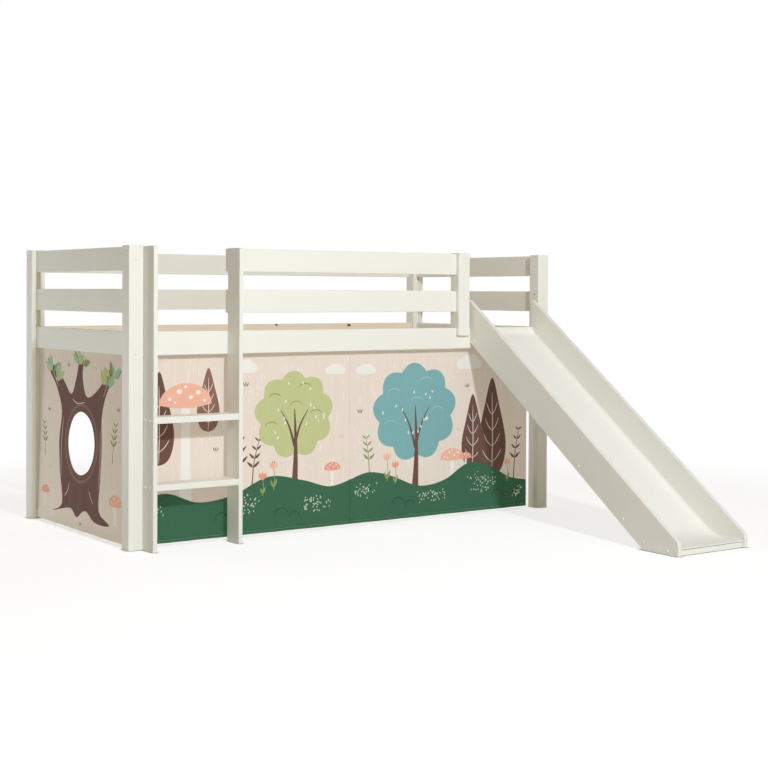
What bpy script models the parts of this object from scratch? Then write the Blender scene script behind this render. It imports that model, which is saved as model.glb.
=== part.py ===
"""Children's loft bed with a ladder, a slide and a play curtain, in metres, Z up.

X runs along the bed from the ladder end to the slide end, Y runs from the front
to the back. The pieces are drawn with the front faces of the posts at Y = 0 and
the left ones at X = 0. They hang on one empty, which puts the origin on the floor
under the middle of the whole bed.
"""

import math

import bmesh
import bpy
from mathutils import Matrix, Vector

# Overall frame
BED_LENGTH = 2.100
BED_DEPTH = 1.000
BED_HEIGHT = 1.150
POST_WIDE = 0.060
POST_DEEP = 0.060

# Boards and rails
BOARD_HIGH = 0.091
BOARD_THICK = 0.018
BOARD_PITCH = 0.161
BOARD_DROP = 0.004
RAIL_INSET = 0.008
EDGE_ROUND = 0.0025
EDGE_STEPS = 2
SHARP_ANGLE_DEG = 40.0

# Joints
CLEAR = 0.0003
GROOVE_DEEP = 0.010
GROOVE_FOOT = 0.040
TENON_LONG = 0.012
TENON_CHEEK = 0.004
TENON_SHOULDER = 0.015
TENON_ROOT = 0.006
CUT_OVER = 0.005

# Slatted base
BEAM_THICK = 0.024
BEAM_HIGH = 0.060
LEDGER_LIP = 0.022
LEDGER_HIGH = 0.025
SLAT_COUNT = 13
SLAT_WIDE = 0.070
SLAT_THICK = 0.018
SLAT_END_GAP = 0.001
SLAT_MARGIN = 0.030
SOFTWOOD_ROUND = 0.0015

# Ladder
STRINGER_THICK = 0.018
STRINGER_DEEP = 0.092
STRINGER_DROP = 0.003
STRINGER_ROUND = 0.012
STRINGER_ROUND_STEPS = 5
LADDER_GAP = 0.0005
RUNG_SPAN = 0.3498
RUNG_THICK = 0.0247
RUNG_SETBACK = 0.0035
RUNG_BACK_GAP = 0.0085
RUNG_PITCH = 0.2528
RUNG_COUNT = 2
RUNG_HOUSING = 0.004

# Guard rail beside the slide
GUARD_POST_GAP = 0.016
GUARD_POST_WIDE = 0.060
GUARD_POST_DEEP = 0.060
GUARD_POST_LAP = 0.0184
GUARD_POST_TAIL = 0.034

# Slide
SLIDE_SLOPE_DEG = 36.0
SLIDE_WIDE = 0.386
SLIDE_SIDE_THICK = 0.018
SLIDE_POST_GAP = 0.006
SLIDE_RISE = 0.1122
SLIDE_CREST_LIFT = 0.0085
SLIDE_CHANNEL = 0.1113
SLIDE_SKIRT = 0.0364
SLIDE_HOOK_PAST_RAIL = 0.0012
SLIDE_FOOT = 0.1813
SLIDE_FRONT_ROUND = 0.030
SLIDE_FRONT_STEPS = 6
SLIDE_HOOK_ROUND = 0.004
SLIDE_HOOK_STEPS = 3
SLIDE_BED_THICK = 0.004
SLIDE_BED_HOUSING = 0.004
SLIDE_BED_START = 0.0026
SLIDE_BED_FLAT = 0.0270
SLIDE_BED_OVER_BAR = 0.001
SLIDE_BED_RADIUS = 0.200
SLIDE_BEND_STEPS = 12
SLIDE_LIP_RADIUS = 0.060
SLIDE_LIP_TURN_DEG = 28.0
SLIDE_LIP_STEPS = 6
BATTEN_THICK = 0.018
BATTEN_WIDE = 0.045
BATTEN_FIRST = 0.0390
BATTEN_NEAR_FOOT = 0.2862
BATTEN_AT_BEND = 0.1750
BATTEN_AT_BEND_WIDE = 0.032
BATTEN_PLACE_SHARES = (0.0, 0.365, 0.730, 1.0)
FOOT_BAR_HIGH = 0.0200
FOOT_BAR_DEEP = 0.044
FOOT_BAR_SETBACK = 0.0139

# Curtains
CLOTH_THICK = 0.0018
CLOTH_TOP_GAP = 0.005
CLOTH_FLOOR_GAP = 0.0085
CLOTH_FRONT_SETBACK = 0.0144
CLOTH_FRONT_LEFT_GAP = 0.003
CLOTH_FRONT_RIGHT_GAP = 0.029
CLOTH_SIDE_LEAN = 0.021
CLOTH_LEAN_FROM_SHARE = 0.12
CLOTH_SIDE_FRONT_GAP = 0.004
CLOTH_SIDE_BACK_GAP = 0.017
CLOTH_SPLIT_GAP = 0.002
CLOTH_SPLIT_SHARE = 0.4998
CLOTH_FOLD = 0.0026
CLOTH_FLAT_TOP_SHARE = 0.25
FOLD_AT_TOP_SHARE = 0.35
FOLD_SWELL_SHARE = 0.7
FOLD_DRIFT_SHARE = 0.6
FOLD_DRIFT_RATE = 2.3
RIPPLE_SHARE = 0.45
RIPPLE_RATE = 2.7
RIPPLE_START = 1.1
CLOTH_FRONT_FOLDS = 9
CLOTH_SIDE_FOLDS = 7
CLOTH_COLUMNS = 54
CLOTH_ROWS = 6
PEEPHOLE_PLACE_SHARE = 0.5147
PEEPHOLE_Z = 0.3593
PEEPHOLE_RADIUS = 0.128
PEEPHOLE_SIDES = 56
TAPE_THICK = 0.0012
TAPE_WIDE = 0.018
TAPE_ROUND = 0.0003

# Bolt caps
CAP_RADIUS = 0.0065
CAP_THICK = 0.0036
CAP_PROUD = 0.0022
CAP_RIM = 0.0002
CAP_DOME_STEPS = 4
CAP_SIDES = 24
CAP_FROM_TOP = 0.0490
CAP_SIDE_FROM_TOP = 0.0125
CAP_RAIL_DROP = 0.0120

# Derived levels
LEVELS = ("top", "middle", "bottom")
board_tops = {
    level: BED_HEIGHT - BOARD_DROP - BOARD_PITCH * step for step, level in enumerate(LEVELS)
}
rail_top = board_tops["bottom"]
rail_foot = rail_top - BOARD_HIGH
front_rail_y = RAIL_INSET
back_rail_y = BED_DEPTH - RAIL_INSET - BOARD_THICK
right_post_x = BED_LENGTH - POST_WIDE
back_post_y = BED_DEPTH - POST_DEEP
end_board_x = (POST_WIDE - BOARD_THICK) / 2


def clear_scene():
    for old in list(bpy.data.objects):
        bpy.data.objects.remove(old, do_unlink=True)


def make_material(name, colour, roughness, metallic=0.0):
    made = bpy.data.materials.new(name)
    made.use_nodes = True
    shader = made.node_tree.nodes["Principled BSDF"]
    shader.inputs["Base Color"].default_value = (*colour, 1.0)
    shader.inputs["Roughness"].default_value = roughness
    shader.inputs["Metallic"].default_value = metallic
    made.diffuse_color = (*colour, 1.0)
    return made


def add_object(name, shape, material=None, smooth=False):
    mesh = bpy.data.meshes.new(name)
    bmesh.ops.recalc_face_normals(shape, faces=shape.faces)
    shape.to_mesh(mesh)
    shape.free()
    made = bpy.data.objects.new(name, mesh)
    bpy.context.scene.collection.objects.link(made)
    if material:
        mesh.materials.append(material)
    if smooth:
        mesh.shade_smooth()
        mesh.set_sharp_from_angle(angle=math.radians(SHARP_ANGLE_DEG))
    return made


def box_shape(low, high):
    shape = bmesh.new()
    bmesh.ops.create_cube(shape, size=1.0)
    size = Vector(high) - Vector(low)
    middle = (Vector(high) + Vector(low)) / 2
    bmesh.ops.transform(
        shape, matrix=Matrix.Translation(middle) @ Matrix.Diagonal((*size, 1.0)), verts=shape.verts
    )
    return shape


def prism_shape(outline, low, high):
    """Extrudes an outline of (Y, Z) points along X."""
    shape = bmesh.new()
    near = [shape.verts.new((low, y, z)) for y, z in outline]
    far = [shape.verts.new((high, y, z)) for y, z in outline]
    shape.faces.new(near)
    shape.faces.new(reversed(far))
    for index in range(len(outline)):
        after = (index + 1) % len(outline)
        shape.faces.new((near[index], far[index], far[after], near[after]))
    return shape


def disc_shape(centre, axis, radius, start, end, sides):
    """A round bar along X or Y, from start to end on that axis."""
    shape = bmesh.new()
    bmesh.ops.create_cone(
        shape, cap_ends=True, segments=sides, radius1=radius, radius2=radius, depth=end - start
    )
    turn = Matrix.Rotation(math.pi / 2, 4, "Y" if axis == 0 else "X")
    place = list(centre)
    place[axis] = (start + end) / 2
    bmesh.ops.transform(shape, matrix=Matrix.Translation(place) @ turn, verts=shape.verts)
    return shape


def ease_edges(target, width):
    bevel = target.modifiers.new("eased edges", "BEVEL")
    bevel.width = width
    bevel.segments = EDGE_STEPS
    bevel.limit_method = "ANGLE"
    bevel.angle_limit = math.radians(SHARP_ANGLE_DEG)
    bevel.use_clamp_overlap = True


def join_or_cut(target, shape, operation, label):
    helper = add_object(f"{target.name}.{label}", shape)
    helper.hide_render = True
    helper.display_type = "WIRE"
    helper.hide_set(True)
    step = target.modifiers.new(label, "BOOLEAN")
    step.operation = operation
    step.solver = "EXACT"
    step.object = helper


def cut(target, shape, label):
    join_or_cut(target, shape, "DIFFERENCE", label)


def fuse(target, shape, label):
    join_or_cut(target, shape, "UNION", label)


def board(name, low, high, material, edge=EDGE_ROUND):
    made = add_object(name, box_shape(low, high), material)
    ease_edges(made, edge)
    return made


def end_tenon(face_x, outward, middle_y, middle_z, root, grow=0.0):
    """A box that leaves a face across X in the direction outward (+1 or -1), rooted behind it."""
    behind = face_x - outward * root
    tip = face_x + outward * (TENON_LONG + grow)
    half_y = BOARD_THICK / 2 - TENON_CHEEK + grow
    half_z = BOARD_HIGH / 2 - TENON_SHOULDER + grow
    low = (min(behind, tip), middle_y - half_y, middle_z - half_z)
    high = (max(behind, tip), middle_y + half_y, middle_z + half_z)
    return box_shape(low, high)


def tenon(face_x, outward, middle_y, middle_z):
    return end_tenon(face_x, outward, middle_y, middle_z, TENON_ROOT)


def mortise(face_x, inward, middle_y, middle_z):
    return end_tenon(face_x, inward, middle_y, middle_z, CUT_OVER, CLEAR)


def arc_points(centre, radius, start, end, steps):
    return [
        (
            centre[0] + radius * math.cos(start + (end - start) * step / steps),
            centre[1] + radius * math.sin(start + (end - start) * step / steps),
        )
        for step in range(steps + 1)
    ]


def rounded_corner(before, corner, after, radius, steps):
    """Points of a round between two straight runs that meet at corner."""
    corner = Vector(corner)
    one = (Vector(before) - corner).normalized()
    two = (Vector(after) - corner).normalized()
    half = one.angle(two) / 2
    reach = radius / math.tan(half)
    centre = corner + (one + two).normalized() * (radius / math.sin(half))
    first = corner + one * reach - centre
    last = corner + two * reach - centre
    turn = math.atan2(first.x * last.y - first.y * last.x, first.dot(last))
    start = math.atan2(first.y, first.x)
    return arc_points(centre, radius, start, start + turn, steps)


clear_scene()

lacquer = make_material("white lacquered wood", (0.86, 0.84, 0.77), 0.42)
post_lacquer = make_material("white lacquered post", (0.86, 0.84, 0.77), 0.42)
pine = make_material("bare pine", (0.74, 0.57, 0.40), 0.62)
slide_lacquer = make_material("white lacquered slide side", (0.84, 0.82, 0.75), 0.42)
laminate = make_material("white slide laminate", (0.88, 0.88, 0.84), 0.28)
cap_plastic = make_material("white plastic cap", (0.88, 0.88, 0.86), 0.35)
front_cloth = make_material("printed cotton front", (0.78, 0.68, 0.60), 0.92)
side_cloth = make_material("printed cotton side", (0.78, 0.68, 0.60), 0.92)
tape_nylon = make_material("white hook tape", (0.85, 0.84, 0.80), 0.85)

# Posts: the ends of the bed enter grooves, the long members enter mortises
long_members = {
    "front": [(front_rail_y, rail_top)],
    "back": [(back_rail_y, top) for top in board_tops.values()],
}
# corner x and y, the way to the middle of the bed along X and Y, and the long members
post_places = {
    "post_front_left": (0.0, 0.0, 1, 1, "front"),
    "post_back_left": (0.0, back_post_y, 1, -1, "back"),
    "post_front_right": (right_post_x, 0.0, -1, 1, "front"),
    "post_back_right": (right_post_x, back_post_y, -1, -1, "back"),
}
bolt_level = rail_foot + CAP_RAIL_DROP
front_cap_level = BED_HEIGHT - CAP_FROM_TOP
side_cap_level = BED_HEIGHT - CAP_SIDE_FROM_TOP
right_cap_x = right_post_x + POST_WIDE / 2
back_cap_y = BED_DEPTH - POST_DEEP / 2
# post, axis that the cap faces along, its place across that axis and its height
cap_places = {
    "cap_front_left_top": ("post_front_left", 1, POST_WIDE / 2, front_cap_level),
    "cap_front_left_rail": ("post_front_left", 1, POST_WIDE / 2, bolt_level),
    "cap_front_right_top": ("post_front_right", 1, right_cap_x, front_cap_level),
    "cap_front_right_rail": ("post_front_right", 1, right_cap_x, bolt_level),
    "cap_left_side_top": ("post_front_left", 0, POST_DEEP / 2, side_cap_level),
    "cap_left_side_middle": (
        "post_front_left", 0, POST_DEEP / 2, board_tops["middle"] - BOARD_HIGH / 2
    ),
    "cap_left_side_rail": ("post_front_left", 0, POST_DEEP / 2, rail_top - BOARD_HIGH / 2),
    "cap_left_back_top": ("post_back_left", 0, back_cap_y, side_cap_level),
}


def cap_shape(axis, across, level, radius, inward, outward):
    """A disc let into a face that lies at zero on the axis and looks away from the bed."""
    centre = [across, across, level]
    centre[axis] = 0.0
    return disc_shape(centre, axis, radius, -outward, inward, CAP_SIDES)


def domed_cap(axis, across, level):
    """A cap let into such a face, with a dome over a low rim."""
    rise = CAP_PROUD - CAP_RIM
    ball = (CAP_RADIUS**2 + rise**2) / (2 * rise)
    profile = [(CAP_RADIUS, CAP_THICK - CAP_PROUD)]
    for step in range(CAP_DOME_STEPS):
        reach = CAP_RADIUS * (1 - step / CAP_DOME_STEPS)
        profile.append((reach, ball - CAP_PROUD - math.sqrt(ball**2 - reach**2)))
    shape = bmesh.new()
    rings = []
    for reach, depth in profile + [(0.0, -CAP_PROUD)]:
        ring = []
        for side in range(CAP_SIDES if reach else 1):
            turn = 2 * math.pi * side / CAP_SIDES
            place = [across + reach * math.cos(turn)] * 2 + [level + reach * math.sin(turn)]
            place[axis] = depth
            ring.append(shape.verts.new(place))
        rings.append(ring)
    shape.faces.new(rings[0])
    for lower, upper in zip(rings, rings[1:]):
        for side in range(CAP_SIDES):
            after = (side + 1) % CAP_SIDES
            corners = [lower[side], lower[after], upper[after % len(upper)], upper[side % len(upper)]]
            shape.faces.new(list(dict.fromkeys(corners)))
    return shape


for name, (x, y, toward_x, toward_y, run) in post_places.items():
    post = add_object(
        name, box_shape((x, y, 0.0), (x + POST_WIDE, y + POST_DEEP, BED_HEIGHT)), post_lacquer
    )
    ease_edges(post, EDGE_ROUND)
    groove_face = y + POST_DEEP if toward_y > 0 else y
    groove_end = groove_face - toward_y * GROOVE_DEEP
    groove_out = groove_face + toward_y * CUT_OVER
    groove_x = x + end_board_x
    groove = box_shape(
        (groove_x - CLEAR, min(groove_end, groove_out), GROOVE_FOOT),
        (groove_x + BOARD_THICK + CLEAR, max(groove_end, groove_out), board_tops["top"] + CLEAR),
    )
    cut(post, groove, "groove")
    inner_face = x + POST_WIDE if toward_x > 0 else x
    for number, (member_y, top) in enumerate(long_members[run]):
        hole = mortise(inner_face, -toward_x, member_y + BOARD_THICK / 2, top - BOARD_HIGH / 2)
        cut(post, hole, f"mortise {number + 1}")
    for cap, (owner, axis, across, level) in cap_places.items():
        if owner == name:
            recess = CAP_THICK - CAP_PROUD + CLEAR
            cut(post, cap_shape(axis, across, level, CAP_RADIUS + CLEAR, recess, CUT_OVER), cap)

for cap, (owner, axis, across, level) in cap_places.items():
    add_object(cap, domed_cap(axis, across, level), cap_plastic, smooth=True)

# Ends: three boards each, their ends in the grooves of the posts
end_start = POST_DEEP - GROOVE_DEEP + CLEAR
end_stop = back_post_y + GROOVE_DEEP - CLEAR
for side, board_x in (("left", end_board_x), ("right", BED_LENGTH - end_board_x - BOARD_THICK)):
    for level, top in board_tops.items():
        board(
            f"end_board_{side}_{level}",
            (board_x, end_start, top - BOARD_HIGH),
            (board_x + BOARD_THICK, end_stop, top),
            lacquer,
        )


def long_board(name, start, end, y, top, left_tenon=True):
    """A board along X with stub tenons that enter the posts at its ends."""
    made = board(name, (start, y, top - BOARD_HIGH), (end, y + BOARD_THICK, top), lacquer)
    middle = (y + BOARD_THICK / 2, top - BOARD_HIGH / 2)
    if left_tenon:
        fuse(made, tenon(start, -1, *middle), "left tenon")
    fuse(made, tenon(end, 1, *middle), "right tenon")


span_start = POST_WIDE + CLEAR
span_end = right_post_x - CLEAR
long_board("side_rail_front", span_start, span_end, front_rail_y, rail_top)
long_board("side_rail_back", span_start, span_end, back_rail_y, rail_top)
long_board("back_board_middle", span_start, span_end, back_rail_y, board_tops["middle"])
long_board("back_board_top", span_start, span_end, back_rail_y, board_tops["top"])

# Slatted base: a beam inside each rail, a ledger under each beam, slats across
rail_inside = front_rail_y + BOARD_THICK + CLEAR
beam_inside = rail_inside + BEAM_THICK
beam_foot = rail_top - BEAM_HIGH
ledger_inside = beam_inside + LEDGER_LIP
ledger_top = beam_foot - CLEAR
base_places = {
    "front": (rail_inside, beam_inside, rail_inside, ledger_inside),
    "back": (
        BED_DEPTH - beam_inside,
        BED_DEPTH - rail_inside,
        BED_DEPTH - ledger_inside,
        BED_DEPTH - rail_inside,
    ),
}
for side, (beam_low, beam_high, ledger_low, ledger_high) in base_places.items():
    board(
        f"slat_beam_{side}",
        (span_start, beam_low, beam_foot),
        (span_end, beam_high, rail_top),
        pine,
        SOFTWOOD_ROUND,
    )
    board(
        f"slat_ledger_{side}",
        (span_start, ledger_low, ledger_top - LEDGER_HIGH),
        (span_end, ledger_high, ledger_top),
        pine,
        SOFTWOOD_ROUND,
    )

slat_foot = ledger_top + CLEAR
slat_first = span_start + SLAT_MARGIN
slat_step = (span_end - SLAT_MARGIN - SLAT_WIDE - slat_first) / (SLAT_COUNT - 1)
for number in range(SLAT_COUNT):
    slat_x = slat_first + slat_step * number
    board(
        f"slat_{number + 1:02d}",
        (slat_x, beam_inside + SLAT_END_GAP, slat_foot),
        (slat_x + SLAT_WIDE, BED_DEPTH - beam_inside - SLAT_END_GAP, slat_foot + SLAT_THICK),
        pine,
        SOFTWOOD_ROUND,
    )

# Ladder: two stringers against the front rail, with housed rungs
stringer_back = front_rail_y - CLEAR
stringer_front = stringer_back - STRINGER_DEEP
stringer_top = BED_HEIGHT - STRINGER_DROP
left_stringer_x = POST_WIDE + LADDER_GAP
right_stringer_x = left_stringer_x + STRINGER_THICK + RUNG_SPAN
stringer_corner = rounded_corner(
    (stringer_back, stringer_top),
    (stringer_front, stringer_top),
    (stringer_front, 0.0),
    STRINGER_ROUND,
    STRINGER_ROUND_STEPS,
)
stringer_outline = [
    (stringer_back, 0.0),
    (stringer_back, stringer_top),
    *stringer_corner,
    (stringer_front, 0.0),
]


def rung_box(number, grow=0.0):
    top = RUNG_PITCH * (number + 1)
    housed = RUNG_HOUSING - CLEAR + grow
    return box_shape(
        (
            left_stringer_x + STRINGER_THICK - housed,
            stringer_front + RUNG_SETBACK - grow,
            top - RUNG_THICK - grow,
        ),
        (right_stringer_x + housed, stringer_back - RUNG_BACK_GAP + grow, top + grow),
    )


for side, x in (("left", left_stringer_x), ("right", right_stringer_x)):
    stringer = add_object(
        f"ladder_stringer_{side}", prism_shape(stringer_outline, x, x + STRINGER_THICK), lacquer
    )
    ease_edges(stringer, EDGE_ROUND)
    for number in range(RUNG_COUNT):
        cut(stringer, rung_box(number, CLEAR), f"housing {number + 1}")

for number in range(RUNG_COUNT):
    rung = add_object(f"ladder_rung_{number + 1}", rung_box(number), lacquer)
    ease_edges(rung, EDGE_ROUND)

# Guard rail: two boards from the right stringer to a short post that laps the rail
slide_right_x = right_post_x - SLIDE_POST_GAP - SLIDE_SIDE_THICK
slide_left_x = slide_right_x + SLIDE_SIDE_THICK - SLIDE_WIDE
guard_post_x = slide_left_x - GUARD_POST_GAP - GUARD_POST_WIDE
guard_post_front = front_rail_y - GUARD_POST_LAP
guard_post_back = guard_post_front + GUARD_POST_DEEP
guard_outline = [
    (guard_post_front, rail_top - GUARD_POST_TAIL),
    (stringer_back, rail_top - GUARD_POST_TAIL),
    (stringer_back, rail_top + CLEAR),
    (guard_post_back, rail_top + CLEAR),
    (guard_post_back, BED_HEIGHT),
    (guard_post_front, BED_HEIGHT),
]
guard_shape = prism_shape(guard_outline, guard_post_x, guard_post_x + GUARD_POST_WIDE)
guard_post = add_object("guard_post", guard_shape, post_lacquer)
ease_edges(guard_post, EDGE_ROUND)
for level in ("top", "middle"):
    top = board_tops[level]
    long_board(
        f"guard_board_{level}",
        right_stringer_x,
        guard_post_x - CLEAR,
        front_rail_y,
        top,
        left_tenon=False,
    )
    hole = mortise(guard_post_x, 1, front_rail_y + BOARD_THICK / 2, top - BOARD_HIGH / 2)
    cut(guard_post, hole, f"mortise {level}")

# Slide: two side panels that hook over the rail, a bent bed, battens and a foot bar
slope = math.radians(SLIDE_SLOPE_DEG)
rise = math.tan(slope)
square = math.cos(slope)
slide_inner_left = slide_left_x + SLIDE_SIDE_THICK
slide_top = rail_top + SLIDE_RISE
bed_start = slide_top - SLIDE_CHANNEL / square
skirt_start = bed_start - SLIDE_SKIRT / square
heel_y = -skirt_start / rise
slide_front = heel_y - SLIDE_FOOT
hook_back = front_rail_y + BOARD_THICK + SLIDE_HOOK_PAST_RAIL
crest = (SLIDE_CREST_LIFT / rise, slide_top + SLIDE_CREST_LIFT)
front_corner = (slide_front, slide_top + rise * slide_front)
side_outline = [
    (stringer_back, skirt_start + rise * stringer_back),
    (stringer_back, rail_top + CLEAR),
    (hook_back, rail_top + CLEAR),
    *rounded_corner(
        (hook_back, rail_top), (hook_back, crest[1]), crest, SLIDE_HOOK_ROUND, SLIDE_HOOK_STEPS
    ),
    crest,
    *rounded_corner(
        (0.0, slide_top), front_corner, (slide_front, 0.0), SLIDE_FRONT_ROUND, SLIDE_FRONT_STEPS
    ),
    (slide_front, 0.0),
    (heel_y, 0.0),
]
bed_end = slide_front + FOOT_BAR_SETBACK - SLIDE_BED_OVER_BAR
bend_y = -(bed_start - SLIDE_BED_FLAT) / rise
bend_reach = SLIDE_BED_RADIUS * math.tan(slope / 2)
bend_centre = (bend_y - bend_reach, SLIDE_BED_FLAT + SLIDE_BED_RADIUS)
lip_slope = slope + math.radians(SLIDE_LIP_TURN_DEG)
lip_y = SLIDE_BED_START - SLIDE_LIP_RADIUS * (math.sin(lip_slope) - math.sin(slope))
lip_centre = (
    lip_y - SLIDE_LIP_RADIUS * math.sin(slope),
    bed_start + rise * lip_y + SLIDE_LIP_RADIUS * square,
)


def bed_outline(grow=0.0, run_on=0.0):
    """Section of the slide bed, with its thickness grown by grow on both faces."""
    lip_tip = -math.pi / 2 + lip_slope + run_on / SLIDE_LIP_RADIUS
    lip_root = -math.pi / 2 + slope
    flat = -math.pi / 2
    thick = SLIDE_BED_THICK + grow
    return [
        *arc_points(lip_centre, SLIDE_LIP_RADIUS - grow, lip_tip, lip_root, SLIDE_LIP_STEPS),
        *arc_points(bend_centre, SLIDE_BED_RADIUS - grow, lip_root, flat, SLIDE_BEND_STEPS),
        (bed_end - run_on, SLIDE_BED_FLAT + grow),
        (bed_end - run_on, SLIDE_BED_FLAT - thick),
        *arc_points(bend_centre, SLIDE_BED_RADIUS + thick, flat, lip_root, SLIDE_BEND_STEPS),
        *arc_points(lip_centre, SLIDE_LIP_RADIUS + thick, lip_root, lip_tip, SLIDE_LIP_STEPS),
    ]


def slide_point(distance, below):
    """The place and the tilt of a point below the top face of the slide bed, at a run from the rail."""
    if -distance > bend_centre[0] + SLIDE_BED_RADIUS * math.sin(slope):
        tilt = slope
        y = -distance
        z = bed_start + rise * y
    else:
        tilt = math.asin((-distance - bend_centre[0]) / SLIDE_BED_RADIUS)
        y = -distance
        z = bend_centre[1] - SLIDE_BED_RADIUS * math.cos(tilt)
    return (y + below * math.sin(tilt), z - below * math.cos(tilt)), tilt


def batten_outline(distance, wide):
    middle, tilt = slide_point(distance, SLIDE_BED_THICK + CLEAR + BATTEN_THICK / 2)
    along = Vector((math.cos(tilt), math.sin(tilt))) * wide / 2
    across = Vector((-math.sin(tilt), math.cos(tilt))) * BATTEN_THICK / 2
    centre = Vector(middle)
    return [
        tuple(centre - along - across),
        tuple(centre + along - across),
        tuple(centre + along + across),
        tuple(centre - along + across),
    ]


for side, x in (("left", slide_left_x), ("right", slide_right_x)):
    panel = add_object(
        f"slide_side_{side}", prism_shape(side_outline, x, x + SLIDE_SIDE_THICK), slide_lacquer
    )
    ease_edges(panel, EDGE_ROUND)
    depth = SLIDE_BED_HOUSING
    if side == "left":
        low, high = x + SLIDE_SIDE_THICK - depth, x + SLIDE_SIDE_THICK + CUT_OVER
    else:
        low, high = x - CUT_OVER, x + depth
    cut(panel, prism_shape(bed_outline(CLEAR, CLEAR), low, high), "bed groove")

slide_bed = add_object(
    "slide_bed",
    prism_shape(
        bed_outline(),
        slide_inner_left - SLIDE_BED_HOUSING + CLEAR,
        slide_right_x + SLIDE_BED_HOUSING - CLEAR,
    ),
    laminate,
)

batten_low = slide_inner_left + CLEAR
batten_high = slide_right_x - CLEAR
batten_span = -slide_front - BATTEN_NEAR_FOOT - BATTEN_FIRST
batten_runs = [
    (BATTEN_FIRST + batten_span * share, BATTEN_WIDE) for share in BATTEN_PLACE_SHARES
]
batten_runs.append((-slide_front - BATTEN_AT_BEND, BATTEN_AT_BEND_WIDE))
for number, (distance, wide) in enumerate(batten_runs):
    batten = add_object(
        f"slide_batten_{number + 1}",
        prism_shape(batten_outline(distance, wide), batten_low, batten_high),
        slide_lacquer,
    )
    ease_edges(batten, SOFTWOOD_ROUND)

bar_front = slide_front + FOOT_BAR_SETBACK
board(
    "slide_foot_bar",
    (batten_low, bar_front, 0.0),
    (batten_high, bar_front + FOOT_BAR_DEEP, FOOT_BAR_HIGH),
    slide_lacquer,
    SOFTWOOD_ROUND,
)


# Curtains: thin sheets with shallow upright folds that open towards the hem
def fold_offset(folds, share, fall):
    """How far the sheet stands off its flat plane, at a share of its width and of its drop."""
    drift = FOLD_DRIFT_SHARE * math.sin(FOLD_DRIFT_RATE * folds * share)
    wave = math.sin(math.pi * folds * share + drift)
    ripple = RIPPLE_SHARE * math.sin(RIPPLE_RATE * math.pi * folds * share + RIPPLE_START)
    open_share = min(1.0, fall / CLOTH_FLAT_TOP_SHARE)
    depth = FOLD_AT_TOP_SHARE + (1.0 - FOLD_AT_TOP_SHARE) * fall
    swell = depth * open_share * FOLD_SWELL_SHARE * (wave + ripple)
    return CLOTH_FOLD * (1.0 + swell) * open_share


def cloth_shape(start, end, top, face, folds, along_x, lean=0.0):
    """A hanging sheet that swells from its face into the bed, its hem out by lean from its top."""
    shape = bmesh.new()
    layers = []
    for thickness in (0.0, CLOTH_THICK):
        rows = []
        for row in range(CLOTH_ROWS + 1):
            fall = row / CLOTH_ROWS
            z = top + (CLOTH_FLOOR_GAP - top) * fall
            lean_share = max(0.0, fall - CLOTH_LEAN_FROM_SHARE) / (1.0 - CLOTH_LEAN_FROM_SHARE)
            line = []
            for column in range(CLOTH_COLUMNS + 1):
                share = column / CLOTH_COLUMNS
                along = start + (end - start) * share
                across = face - lean * lean_share + fold_offset(folds, share, fall) + thickness
                place = (along, across, z) if along_x else (across, along, z)
                line.append(shape.verts.new(place))
            rows.append(line)
        layers.append(rows)
    outside, inside = layers
    for rows in layers:
        for row in range(CLOTH_ROWS):
            for column in range(CLOTH_COLUMNS):
                near, far = rows[row], rows[row + 1]
                shape.faces.new((near[column], near[column + 1], far[column + 1], far[column]))
    for row in (0, CLOTH_ROWS):
        for column in range(CLOTH_COLUMNS):
            near, far = outside[row], inside[row]
            shape.faces.new((near[column], near[column + 1], far[column + 1], far[column]))
    for column in (0, CLOTH_COLUMNS):
        for row in range(CLOTH_ROWS):
            below = row + 1
            shape.faces.new(
                (
                    outside[row][column],
                    outside[below][column],
                    inside[below][column],
                    inside[row][column],
                )
            )
    return shape


# The front sheets hang from a tape under the ledger, the side one from a tape on its board
front_tape_top = ledger_top - LEDGER_HIGH - CLEAR
front_cloth_top = front_tape_top - TAPE_THICK - CLEAR
front_cloth_face = rail_inside + CLOTH_FRONT_SETBACK
front_tape_face = front_cloth_face + (CLOTH_THICK - TAPE_WIDE) / 2
front_start = POST_WIDE + CLOTH_FRONT_LEFT_GAP
front_end = right_post_x - CLOTH_FRONT_RIGHT_GAP
front_split = front_start + (front_end - front_start) * CLOTH_SPLIT_SHARE
front_sheets = {
    "curtain_front_left": (front_start, front_split - CLOTH_SPLIT_GAP / 2),
    "curtain_front_right": (front_split + CLOTH_SPLIT_GAP / 2, front_end),
}
for name, (start, end) in front_sheets.items():
    sheet = cloth_shape(start, end, front_cloth_top, front_cloth_face, CLOTH_FRONT_FOLDS, True)
    add_object(name, sheet, front_cloth, smooth=True)

side_start = POST_DEEP + CLOTH_SIDE_FRONT_GAP
side_end = back_post_y - CLOTH_SIDE_BACK_GAP
side_cloth_top = beam_foot - CLOTH_TOP_GAP
side_tape_face = end_board_x + BOARD_THICK + CLEAR
side_cloth_face = side_tape_face + TAPE_THICK + CLEAR
peephole_y = side_start + (side_end - side_start) * PEEPHOLE_PLACE_SHARE
side_sheet = cloth_shape(
    side_start,
    side_end,
    side_cloth_top,
    side_cloth_face,
    CLOTH_SIDE_FOLDS,
    False,
    CLOTH_SIDE_LEAN,
)
side_curtain = add_object("curtain_side_left", side_sheet, side_cloth, smooth=True)
peephole = disc_shape(
    (0.0, peephole_y, PEEPHOLE_Z),
    0,
    PEEPHOLE_RADIUS,
    side_cloth_face - CLOTH_SIDE_LEAN - CUT_OVER,
    POST_WIDE + CUT_OVER,
    PEEPHOLE_SIDES,
)
cut(side_curtain, peephole, "peephole")

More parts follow.
